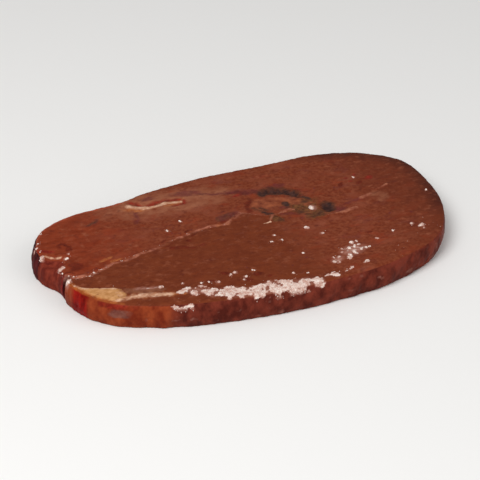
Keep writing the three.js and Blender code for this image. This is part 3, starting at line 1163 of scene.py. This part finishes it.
@dataclass(frozen=True)
class FrozenLiver:
    """Frozen beef liver, sawn: dense brown-red tissue under a dry haze of frost.

    It gives the eye a matte, finely mottled brown with faint streaks along the saw's way. Fat is
    cream, set blood is blue-black and a little glossier, and the torn skin is streaked upright.
    """

    name: str = "frozen_liver_tissue"
    flesh_light: str = "7f3f28"
    flesh_dark: str = "6e2f1c"
    ior: float = 1.38
    specular: float = 0.06
    roughness: float = 0.62
    mottles: Grain = (1.5, 1.4, 1.5)
    streaks: Grain = (6.0, 2.2, 6.0)
    streak_share: float = 0.15
    flesh_spread: Point = (0.4, 0.6)
    coat_spread: Point = (0.36, 0.64)
    noise_detail: float = 3.0
    noise_roughness: float = 0.6
    unmarked: float = 0.5
    bump_depth: float = 0.13
    coats: tuple[Coat, ...] = (
        Coat(None, "8b4a35", "7b3a26", (15.0, 9.0, 15.0), 6.0, (0.5, 0.9), 0.75),
        Coat(None, "8e3b22", "7c301c", (10.0, 6.0, 10.0), 6.0, (0.6, 1.0), 0.6),
        Coat(None, "6e3530", "622d2a", (7.0, 4.5, 7.0), 6.0, (0.7, 1.1), 0.4),
        Coat(Mark.RED_END, "893921", "732a15", (6.0, 4.0, 6.0), 2.0, (0.1, 0.85), 0.85),
        Coat(Mark.PALE, "9a6046", "894e37", (6.0, 3.5, 6.0), 3.0, (0.15, 0.8), 0.85),
        Coat(Mark.FRONT_LOBE, "72351d", "652c18", (4.6, 2.6, 4.6), 0.8, (0.2, 0.8), 0.85),
        # Painted shade: the round end darker, and darker still along its rim.
        Coat(Mark.ROUND_END, "6d321f", "5b2819", (5.0, 3.2, 5.0), 1.0, (0.1, 1.1), 0.85),
        Coat(Mark.SHADE, "56291c", "42211a", (7.0, 5.0, 7.0), 0.6, (0.1, 1.0), 0.85),
        Coat(None, "9b5b42", "8b4b34", (3.2, 2.3, 3.2), 6.0, (0.66, 1.3), 0.6),
        Coat(None, "56201a", "4a1a14", (3.4, 2.3, 3.4), 6.0, (0.7, 1.3), 0.6),
        Coat(None, "90503a", "84412b", (3.6, 3.0, 3.6), 6.0, (0.7, 1.3), 0.2),
        Coat(Mark.WALL, "783325", "501d15", (4.2, 4.2, 6.0), 0.6, (0.35, 0.65), 1.0, 0.5),
        # The skin behind the cleft: its own dark red, made darker with painted shade.
        Coat(Mark.LOBED_END, "541a1b", "2e0a0b", (3.2, 3.2, 5.0), 0.8, (0.3, 0.7), 1.0, 0.6),
        Coat(Mark.TORN, "823526", "5e1f17", (2.6, 2.0, 5.0), 1.0, (0.3, 0.62), 1.0, 0.6),
        Coat(Mark.ORANGE_END, "974324", "712714", (5.0, 5.0, 7.0), 0.8, (0.3, 0.7), 1.0, 0.46),
        Coat(Mark.RED_SKIN, "931911", "660b08", (2.6, 2.6, 6.0), 1.0, (0.15, 0.7), 1.0, 0.42),
        Coat(Mark.GREY_SKIN, "7c5146", "623630", (3.0, 3.0, 2.0), 2.0, (0.3, 0.8), 0.8, 0.5),
        # Painted shade: the cleft's walls near black.
        Coat(Mark.CLEFT, "5a1613", "2a0a0a", (2.0, 2.0, 5.0), 0.6, (0.3, 0.6), 1.0, 0.4),
        Coat(Mark.RIM, "b05238", "903e2a", (3.0, 3.0, 3.0), 2.0, (0.3, 0.75), 0.85, 0.5),
        Coat(Mark.OLIVE, "78502f", "42271c", (1.5, 1.3, 1.5), 3.0, (0.2, 0.9), 0.85),
        Coat(Mark.OVAL, "9c5638", "6c3323", (4.0, 3.2, 4.0), 1.8, (0.25, 0.8), 0.85, 0.55),
        # Stains of blood, and painted shade beside the seam.
        Coat(Mark.STAIN, "6a2315", "4c160f", (2.4, 1.8, 2.4), 2.2, (0.25, 0.8), 0.75, 0.55),
        Coat(Mark.BRUISE, "6e3130", "542424", (2.8, 2.2, 2.8), 2.6, (0.2, 0.95), 0.7, 0.55),
        Coat(Mark.AMBER, "b9703f", "944a28", (1.8, 1.5, 1.8), 3.2, (0.25, 0.9), 0.8, 0.5),
        Coat(Mark.VEIN, "5e3826", "44261a", (2.2, 1.8, 2.2), 3.0, (0.1, 0.6), 0.8, 0.5),
        Coat(Mark.VEIN, "4c322c", "2c1d1d", (1.7, 1.4, 1.7), 1.6, (0.4, 0.9), 0.95, 0.45),
        Coat(Mark.FAT_END, "8e5b42", "6c3d2c", (3.4, 2.2, 3.4), 2.4, (0.3, 0.8), 0.75, 0.55),
        Coat(Mark.FAT, "cf9968", "b07a48", (3.0, 2.4, 3.0), 2.0, (0.36, 0.68), 1.0, 0.5),
        Coat(Mark.FAT_EDGE, "ac5c2a", "84401c", (2.6, 2.2, 2.6), 1.4, (0.2, 0.6), 0.95, 0.45),
        Coat(Mark.FAR_SEAM, "b06f55", "874837", (2.0, 1.5, 2.0), 3.2, (0.3, 0.8), 0.8, 0.55),
        Coat(Mark.SEAM, "b06d56", "824435", (1.7, 1.4, 1.7), 1.8, (0.3, 0.85), 0.9, 0.5),
        Coat(Mark.BLOOD, "8e2a1d", "641912", (2.2, 1.8, 2.2), 1.4, (0.2, 0.75), 0.9, 0.45),
        Coat(Mark.LIP, "dcb296", "b27c5e", (2.6, 2.0, 2.6), 1.8, (0.34, 0.7), 1.0, 0.5),
        Coat(Mark.FROST, "b27e70", "935c4c", (1.8, 1.6, 1.8), 1.6, (0.12, 0.5), 0.8, 0.7),
        Coat(Mark.FROST, "f4e6dc", "c89b8b", (1.7, 1.4, 1.7), 2.0, (0.45, 0.8), 0.95, 0.75),
    )

    def build(self) -> bpy.types.Material:
        """Makes the material.

        Returns:
            A node material that reads the slice's marks.
        """
        made, place = start_material(self.name)
        tree = made.node_tree
        colour, height = self._flesh(tree, place)
        roughness: bpy.types.NodeSocket | float = self.roughness
        for coat in self.coats:
            colour, roughness = self._lay(tree, place, coat, colour, roughness)
        bump = add_node(tree, "ShaderNodeBump", {"Height": height, "Distance": self.bump_depth * MM})
        shader = add_node(tree, "ShaderNodeBsdfPrincipled", {
            "Base Color": colour, "Roughness": roughness, "IOR": self.ior,
            "Specular IOR Level": self.specular, "Normal": bump.outputs[0]})
        add_node(tree, "ShaderNodeOutputMaterial", {"Surface": shader.outputs[0]})
        return made

    def _noise(self, tree: bpy.types.NodeTree, place: bpy.types.NodeSocket,
               grain: Grain) -> bpy.types.Node:
        """Adds a noise of soft blobs.

        Args:
            tree: The material's nodes.
            place: Where the point is, in metres.
            grain: How many millimetres a blob measures along X, Y and Z.

        Returns:
            The noise's node.
        """
        scaled = add_node(tree, "ShaderNodeVectorMath", {0: place, 1: [1 / (g * MM) for g in grain]},
                          operation="MULTIPLY")
        return add_node(tree, "ShaderNodeTexNoise", {
            "Vector": scaled.outputs[0], "Scale": 1.0, "Detail": self.noise_detail,
            "Roughness": self.noise_roughness})

    def _flesh(self, tree: bpy.types.NodeTree,
               place: bpy.types.NodeSocket) -> tuple[bpy.types.NodeSocket, bpy.types.NodeSocket]:
        """The bare tissue that every coat lies over.

        Args:
            tree: The material's nodes.
            place: Where the point is, in metres.

        Returns:
            Its colour, and its fine height for the bump.
        """
        mottle, streak = (self._noise(tree, place, grain).outputs["Fac"]
                          for grain in (self.mottles, self.streaks))
        fine = add_node(tree, "ShaderNodeMix", {
            FACTOR: self.streak_share, NUMBER_A: mottle, NUMBER_B: streak}).outputs[NUMBER_OUT]
        return blend_colours(tree, fine, self.flesh_spread, self.flesh_dark, self.flesh_light), fine

    def _lay(self, tree: bpy.types.NodeTree, place: bpy.types.NodeSocket, coat: Coat,
             below: bpy.types.NodeSocket, roughness: bpy.types.NodeSocket | float,
             ) -> tuple[bpy.types.NodeSocket, bpy.types.NodeSocket]:
        """Lays one coat over what is there, with an edge that noise frays.

        Args:
            tree: The material's nodes.
            place: Where the point is, in metres.
            coat: The coat.
            below: The colour under it.
            roughness: The roughness under it.

        Returns:
            The colour and the roughness with the coat on.
        """
        blobs = self._noise(tree, place, coat.grain)
        channels = add_node(tree, "ShaderNodeSeparateColor", {0: blobs.outputs["Color"]})
        strength = self.unmarked if coat.mark is None else add_node(
            tree, "ShaderNodeAttribute", attribute_name=coat.mark.value).outputs["Fac"]
        ragged = add_node(tree, "ShaderNodeMath", {
            0: blobs.outputs["Fac"], 1: coat.fray, 2: 1 - coat.fray / 2}, operation="MULTIPLY_ADD")
        frayed = add_node(tree, "ShaderNodeMath", {0: ragged.outputs[0], 1: strength}, operation="MULTIPLY")
        low, high = coat.edge
        cover = add_node(tree, "ShaderNodeMapRange", {
            "Value": frayed.outputs[0], "From Min": low, "From Max": high, "To Max": coat.cover})
        tissue = blend_colours(tree, channels.outputs["Blue"], self.coat_spread, coat.dark, coat.light)
        laid = add_node(tree, "ShaderNodeMix", {
            FACTOR: cover.outputs[0], COLOUR_A: below, COLOUR_B: tissue}, data_type="RGBA")
        rough = add_node(tree, "ShaderNodeMix", {
            FACTOR: cover.outputs[0], NUMBER_A: roughness, NUMBER_B: coat.roughness})
        return laid.outputs[COLOUR_OUT], rough.outputs[NUMBER_OUT]


@dataclass(frozen=True)
class HoarFrost:
    """Hoar frost: grains of clear ice whose many faces scatter light.

    It gives the eye small white points, here and there pink where the meat shows through.
    """

    name: str = "hoar_frost"
    clear: str = "f4e6dc"
    tinted: str = "bf9182"
    blobs: float = 1.6
    blob_detail: float = 2.0
    tint_spread: Point = (0.38, 0.64)
    gloss_spread: Point = (0.3, 0.7)
    roughness: Point = (0.3, 0.6)
    ior: float = 1.31

    def build(self) -> bpy.types.Material:
        """Makes the material.

        Returns:
            A node material on Object coordinates.
        """
        made, place = start_material(self.name)
        tree = made.node_tree
        blobs = add_node(tree, "ShaderNodeTexNoise", {
            "Vector": place, "Scale": 1 / (self.blobs * MM), "Detail": self.blob_detail}).outputs["Fac"]
        ice = blend_colours(tree, blobs, self.tint_spread, self.tinted, self.clear)
        low, high = self.gloss_spread
        smooth, rough = self.roughness
        gloss = add_node(tree, "ShaderNodeMapRange", {
            "Value": blobs, "From Min": low, "From Max": high, "To Min": smooth, "To Max": rough})
        shader = add_node(tree, "ShaderNodeBsdfPrincipled", {
            "Base Color": ice, "Roughness": gloss.outputs[0], "IOR": self.ior})
        add_node(tree, "ShaderNodeOutputMaterial", {"Surface": shader.outputs[0]})
        return made


@dataclass(frozen=True)
class LiverSlice:
    """The slice itself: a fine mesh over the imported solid, with every feature's relief and marks."""

    name: str = "frozen_liver_slice"
    weld: float = 0.01
    cell: float = 0.6
    wear: float = 0.5
    wear_rounds: int = 3
    headroom: float = 0.25
    features: tuple[Feature, ...] = (
        SawnCuts(), Lobes(), Skin(), TornBite(), Seam(), FatStrip(), Veins(), BackChip(), FrostCrust())

    def build(self, finish: bpy.types.Material) -> tuple[bpy.types.Object, Surface]:
        """Builds and dresses the slice.

        Args:
            finish: Its material.

        Returns:
            The piece, and its finished surface.
        """
        piece = self._fine_copy()
        mesh = piece.data
        surface = Surface.of(mesh)
        lift = sum(feature.relief(surface) for feature in self.features)
        places = surface.places + surface.normals * lift[:, None]
        places[:, 2] = np.clip(places[:, 2], 0.0, THICKNESS + self.headroom)
        for feature in self.features:
            for mark, strength in feature.marks(surface).items():
                self._write(mesh, mark, strength)
        mesh.vertices.foreach_set("co", (places * MM).ravel())
        mesh.update()
        mesh.materials.append(finish)
        mesh.shade_smooth()
        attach(piece, BODY)
        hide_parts(SOLID)
        return piece, Surface.of(mesh)

    def _fine_copy(self) -> bpy.types.Object:
        """Makes a merged copy of the solid in even cells, with its sharp edges worn.

        Returns:
            The piece, still without relief or material.
        """
        piece = bpy.data.objects.new(self.name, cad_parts[SOLID].data.copy())
        piece.data.name = self.name
        piece.data.materials.clear()
        bpy.context.scene.collection.objects.link(piece)
        select_only(piece)
        bpy.ops.object.mode_set(mode="EDIT")
        bpy.ops.mesh.select_all(action="SELECT")
        bpy.ops.mesh.remove_doubles(threshold=self.weld * MM)
        bpy.ops.object.mode_set(mode="OBJECT")
        cells = piece.modifiers.new("even_cells", "REMESH")
        cells.mode, cells.voxel_size = "VOXEL", self.cell * MM
        bpy.ops.object.modifier_apply(modifier=cells.name)
        worn = piece.modifiers.new("worn_edges", "SMOOTH")
        worn.factor, worn.iterations = self.wear, self.wear_rounds
        bpy.ops.object.modifier_apply(modifier=worn.name)
        return piece

    @staticmethod
    def _write(mesh: bpy.types.Mesh, mark: Mark, strength: np.ndarray) -> None:
        """Keeps the strongest of what a mark's features say, as a point attribute.

        Args:
            mesh: The slice's mesh.
            mark: The mark.
            strength: What one feature says, from 0 to 1 at each point.
        """
        layer = mesh.attributes.get(mark.value) or mesh.attributes.new(mark.value, "FLOAT", "POINT")
        kept = np.empty(len(strength), np.float32)
        layer.data.foreach_get("value", kept)
        layer.data.foreach_set("value", np.maximum(kept, strength).astype(np.float32))


@dataclass(frozen=True)
class IceGrain:
    """One shape of frost grain, a millimetre across: an angular lump with a flat foot."""

    stretch: Place
    seed: int
    radius: float = 0.5
    jag: float = 0.12
    foot: float = -0.28
    subdivisions: int = 1

    def model(self) -> tuple[np.ndarray, list[list[int]]]:
        """Models the grain.

        Returns:
            Its points, and its faces as numbers of points.
        """
        bpy.ops.object.select_all(action="DESELECT")
        bpy.ops.mesh.primitive_ico_sphere_add(subdivisions=self.subdivisions, radius=self.radius)
        grain = bpy.context.object
        bpy.ops.object.mode_set(mode="EDIT")
        bpy.ops.mesh.select_all(action="SELECT")
        bpy.ops.transform.vertex_random(offset=self.jag, seed=self.seed)
        bpy.ops.transform.resize(value=self.stretch)
        bpy.ops.mesh.bisect(plane_co=(0, 0, self.foot), plane_no=(0, 0, 1), use_fill=True, clear_inner=True)
        bpy.ops.mesh.select_all(action="SELECT")
        bpy.ops.mesh.normals_make_consistent(inside=False)
        bpy.ops.object.mode_set(mode="OBJECT")
        points = np.array([list(v.co) for v in grain.data.vertices])
        faces = [list(face.vertices) for face in grain.data.polygons]
        bpy.data.meshes.remove(grain.data)
        return points, faces


@dataclass(frozen=True)
class IceFlake(IceGrain):
    """One shape that flakes are made of: rounder and finer than a grain, on a higher foot."""

    jag: float = 0.05
    foot: float = -0.22
    subdivisions: int = 2


@dataclass(frozen=True)
class FrostGrains:
    """Grains of frost of one kind, frozen on where the slice's surface catches them.

    Most are nearer to the smaller of the two sizes, the more so the larger the bias. Each leans
    from the surface's normal, and none stands higher above the upper cut than the headroom.
    """

    name: str
    seed: int
    count: int
    sizes: Point
    small_bias: float = 1.5
    lean: float = 0.15
    headroom: float = 0.28

    def likelihood(self, surface: Surface) -> np.ndarray:
        """How likely a grain is at each point of the slice."""
        return surface.upper

    def spots(self, surface: Surface, draw: np.random.Generator) -> tuple[np.ndarray, np.ndarray]:
        """Draws where the grains lie.

        Args:
            surface: The slice's finished surface.
            draw: The seeded source of chance.

        Returns:
            The number of each grain's point, and each grain's size.
        """
        odds = self.likelihood(surface)
        small, large = self.sizes
        picks = draw.choice(len(odds), self.count, p=odds / odds.sum())
        return picks, small * (large / small) ** draw.random(self.count) ** self.small_bias

    def build(self, surface: Surface, shapes: list[tuple[np.ndarray, list[list[int]]]],
              finish: bpy.types.Material) -> bpy.types.Object:
        """Scatters the grains as one joined mesh.

        Args:
            surface: The slice's finished surface.
            shapes: The grain shapes, as points and faces.
            finish: Their material.

        Returns:
            The piece.
        """
        draw = np.random.default_rng(self.seed)
        ceiling = THICKNESS + self.headroom
        points: list[np.ndarray] = []
        faces: list[list[int]] = []
        start = 0
        for pick, size in zip(*self.spots(surface, draw)):
            shape, sides = shapes[draw.integers(len(shapes))]
            up = Vector(surface.normals[pick]) + Vector(draw.normal(0, self.lean, 3))
            turn = up.to_track_quat("Z", "Y") @ Quaternion((0, 0, 1), draw.uniform(0, math.tau))
            grain = shape @ np.array(turn.to_matrix()).T * size + surface.places[pick]
            grain[:, 2] -= max(0.0, grain[:, 2].max() - ceiling)
            points.append(grain)
            faces.extend([corner + start for corner in side] for side in sides)
            start += len(shape)
        mesh = bpy.data.meshes.new(self.name)
        mesh.from_pydata((np.vstack(points) * MM).tolist(), [], faces)
        mesh.materials.append(finish)
        mesh.shade_smooth()
        piece = bpy.data.objects.new(self.name, mesh)
        bpy.context.scene.collection.objects.link(piece)
        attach(piece, BODY)
        return piece


@dataclass(frozen=True)
class BandFrost(FrostGrains):
    """The grains of the crust along the front rim."""

    name: str = "frost_band"
    seed: int = 11
    count: int = 2300
    sizes: Point = (0.22, 0.6)
    crust: FrostCrust = FrostCrust()

    def likelihood(self, surface: Surface) -> np.ndarray:
        """Likeliest where the crust is thick."""
        return self.crust.density(surface) ** 2


@dataclass(frozen=True)
class FlakeFrost(FrostGrains):
    """The large flakes that lie about on the upper cut.

    The count is of the pieces in each flake, which overlap. Their sizes, and how far they are
    spread about its middle, are shares of the flake's width.
    """

    name: str = "frost_flakes"
    seed: int = 15
    count: int = 2
    sizes: Point = (0.5, 0.8)
    spread: float = 0.13

    def spots(self, surface: Surface, draw: np.random.Generator) -> tuple[np.ndarray, np.ndarray]:
        """Lays each flake as a few pieces that overlap.

        Args:
            surface: The slice's finished surface.
            draw: The seeded source of chance.

        Returns:
            The number of each piece's point, and each piece's size.
        """
        tree = tree_of(surface.places)
        picks, sizes = [], []
        for x, y, width in FLAKES:
            for _ in range(self.count):
                dx, dy = draw.normal(0, self.spread * width, 2)
                picks.append(tree.find((x + dx, y + dy, THICKNESS))[1])
                sizes.append(width * draw.uniform(*self.sizes))
        return np.array(picks), np.array(sizes)


@dataclass(frozen=True)
class SpeckFrost(FrostGrains):
    """Fine grains round the flakes, and a few more towards the front rim."""

    name: str = "frost_specks"
    seed: int = 12
    count: int = 150
    sizes: Point = (0.16, 0.34)
    spread: float = 1.0
    rim_inset: Fade = (16.0, 3.0)
    rim_front_of: float = -12.0
    rim_odds: float = 0.02

    def likelihood(self, surface: Surface) -> np.ndarray:
        """Likely near one of the flakes, and seldom near the front rim.

        Args:
            surface: The slice's finished surface.

        Returns:
            Numbers that compare the points, 0 where there is none.
        """
        gaps = [np.linalg.norm(surface.plan - np.array((x, y)), axis=1) for x, y, _ in FLAKES]
        near = sum(np.exp(-(gap / self.spread) ** 2) for gap in gaps)
        rim = smoothstep(*self.rim_inset, surface.inset) * (surface.plan[:, 1] < self.rim_front_of)
        return surface.upper * (near + self.rim_odds * rim)


@dataclass(frozen=True)
class SeamFrost(FrostGrains):
    """The fine grains in the seam and in the cleft's mouth, fewer along the seam."""

    name: str = "frost_in_seam"
    seed: int = 13
    count: int = 60
    sizes: Point = (0.18, 0.36)
    seam: Seam = Seam()
    line_width: Fade = (0.9, 0.2)
    line_along: Fade = (55.0, 0.0)
    least_odds: float = 0.08
    mouth: Blot = Blot((-81.4, -5.6), (1.5, 1.3))
    mouth_top: Fade = (0.7, 0.85)
    mouth_odds: float = 1.5

    def likelihood(self, surface: Surface) -> np.ndarray:
        """Likely on the seam's left part, and most of all in the cleft's mouth.

        Args:
            surface: The slice's finished surface.

        Returns:
            Numbers that compare the points, 0 where there is none.
        """
        gap, along = self.seam.line.measure(surface.plan)
        odds = self.least_odds + smoothstep(*self.line_along, along)
        on_line = surface.upper * smoothstep(*self.line_width, np.abs(gap)) * odds
        return on_line + self.mouth_odds * self.mouth.strength(surface.plan) * surface.above(self.mouth_top)


@dataclass(frozen=True)
class RimFrost(FrostGrains):
    """The grains caught on the rough left rim, from the cleft backwards.

    They lie closer in some stretches than in others. A stretch comes round every ten millimetres.
    """

    name: str = "frost_on_rim"
    seed: int = 14
    count: int = 80
    sizes: Point = (0.2, 0.45)
    stretch_turn: float = 0.62
    stretch_start: float = 0.8
    least_odds: float = 0.08
    rim_inset: Fade = (1.6, 0.3)
    rim_along: Fade = (-60.0, -78.0)
    rim_across: Fade = (-10.0, -7.0)
    rim_height: float = 0.8

    def likelihood(self, surface: Surface) -> np.ndarray:
        """Likely on the rim's edge at the left end, in some stretches.

        Args:
            surface: The slice's finished surface.

        Returns:
            Numbers that compare the points, 0 where there is none.
        """
        x, y = surface.plan.T
        stretches = np.maximum(0, np.sin(self.stretch_turn * y + self.stretch_start)) ** 2
        edge = smoothstep(*self.rim_inset, surface.inset) * smoothstep(*self.rim_along, x)
        edge *= smoothstep(*self.rim_across, y) * (surface.places[:, 2] > self.rim_height * THICKNESS)
        return edge * (self.least_odds + stretches)


@dataclass(frozen=True)
class Studio:
    """A plain pale floor under soft white light, the strongest from the upper left."""

    floor_colour: str = "f1f0ee"
    floor_roughness: float = 0.8
    floor_size: float = 6000.0
    floor_drop: float = 0.05
    world_colour: str = "f4f4f4"
    world_strength: float = 0.42
    key_at: Place = (-600.0, -350.0, 850.0)
    key_size: float = 600.0
    key_watts: float = 8.5
    fill_at: Place = (760.0, -760.0, 620.0)
    fill_size: float = 1000.0
    fill_watts: float = 3.5

    def build(self) -> None:
        """Lays the floor, and sets the world and the lights."""
        bpy.ops.object.select_all(action="DESELECT")
        bpy.ops.mesh.primitive_plane_add(size=self.floor_size * MM, location=(0, 0, -self.floor_drop * MM))
        floor = bpy.context.object
        floor.name = "floor"
        paint = bpy.data.materials.new("matt_floor")
        paint.use_nodes = True
        shader = paint.node_tree.nodes["Principled BSDF"]
        shader.inputs["Base Color"].default_value = linear(self.floor_colour)
        shader.inputs["Roughness"].default_value = self.floor_roughness
        floor.data.materials.append(paint)
        world = bpy.data.worlds.new("soft_surround")
        world.use_nodes = True
        sky = world.node_tree.nodes["Background"]
        sky.inputs["Color"].default_value = linear(self.world_colour)
        sky.inputs["Strength"].default_value = self.world_strength
        bpy.context.scene.world = world
        self._lamp("key", self.key_at, self.key_size, self.key_watts)
        self._lamp("fill", self.fill_at, self.fill_size, self.fill_watts)
        bpy.context.scene.view_settings.view_transform = "Standard"

    @staticmethod
    def _lamp(name: str, at: Place, size: float, watts: float) -> None:
        """Hangs one square soft light, aimed at the slice.

        Args:
            name: Its name.
            at: Where it hangs, in millimetres.
            size: Its side, in millimetres.
            watts: Its power.
        """
        lamp = bpy.data.lights.new(name, "AREA")
        lamp.size, lamp.energy = size * MM, watts
        holder = bpy.data.objects.new(name, lamp)
        holder.location = Vector(at) * MM
        holder.rotation_euler = (-holder.location).to_track_quat("-Z", "Y").to_euler()
        bpy.context.scene.collection.objects.link(holder)


@dataclass(frozen=True)
class Camera:
    """A long lens that looks down on the slice from in front of its left end. Angles in degrees."""

    target: Place = (-3.8, 2.1, 5.5)
    azimuth: float = -26.95
    elevation: float = 30.56
    roll: float = 1.82
    distance: float = 937.4
    lens: float = 175.5
    film_width: float = 36.0
    sees_to: float = 10_000.0

    def build(self) -> None:
        """Places the camera and makes it the scene's."""
        turn, tilt = math.radians(self.azimuth), math.radians(self.elevation)
        back = Vector((math.sin(turn) * math.cos(tilt), -math.cos(turn) * math.cos(tilt), math.sin(tilt)))
        camera = bpy.data.cameras.new("camera")
        camera.lens, camera.sensor_width = self.lens, self.film_width
        camera.clip_end = self.sees_to * MM
        holder = bpy.data.objects.new("camera", camera)
        holder.location = (Vector(self.target) + back * self.distance) * MM
        level = (-back).to_track_quat("-Z", "Y")
        holder.rotation_euler = (level @ Quaternion((0, 0, 1), math.radians(self.roll))).to_euler()
        bpy.context.scene.collection.objects.link(holder)
        bpy.context.scene.camera = holder


def report(piece: bpy.types.Object) -> None:
    """Logs a piece's name and how many faces it has."""
    log.info("%s: %d faces", piece.name, len(piece.data.polygons))


def main() -> None:
    """Builds the camera, the studio, the slice and its frost in order, and reports each piece."""
    logging.basicConfig(level=logging.INFO, format="%(name)s: %(message)s")
    Camera().build()
    Studio().build()
    piece, surface = LiverSlice().build(FrozenLiver().build())
    report(piece)
    ice = HoarFrost().build()
    grains = [IceGrain(stretch, seed).model() for stretch, seed in (
        ((1.0, 0.9, 0.8), 1), ((1.25, 0.75, 0.7), 2), ((0.8, 1.1, 0.9), 3), ((1.1, 1.0, 0.6), 4))]
    flakes = [IceFlake(stretch, seed).model() for stretch, seed in (
        ((1.1, 0.9, 0.7), 5), ((1.0, 1.1, 0.62), 6), ((0.85, 1.0, 0.75), 7))]
    report(BandFrost().build(surface, grains, ice))
    report(FlakeFrost().build(surface, flakes, ice))
    report(SpeckFrost().build(surface, grains, ice))
    report(SeamFrost().build(surface, grains, ice))
    report(RimFrost().build(surface, grains, ice))


if __name__ == "__main__":
    main()
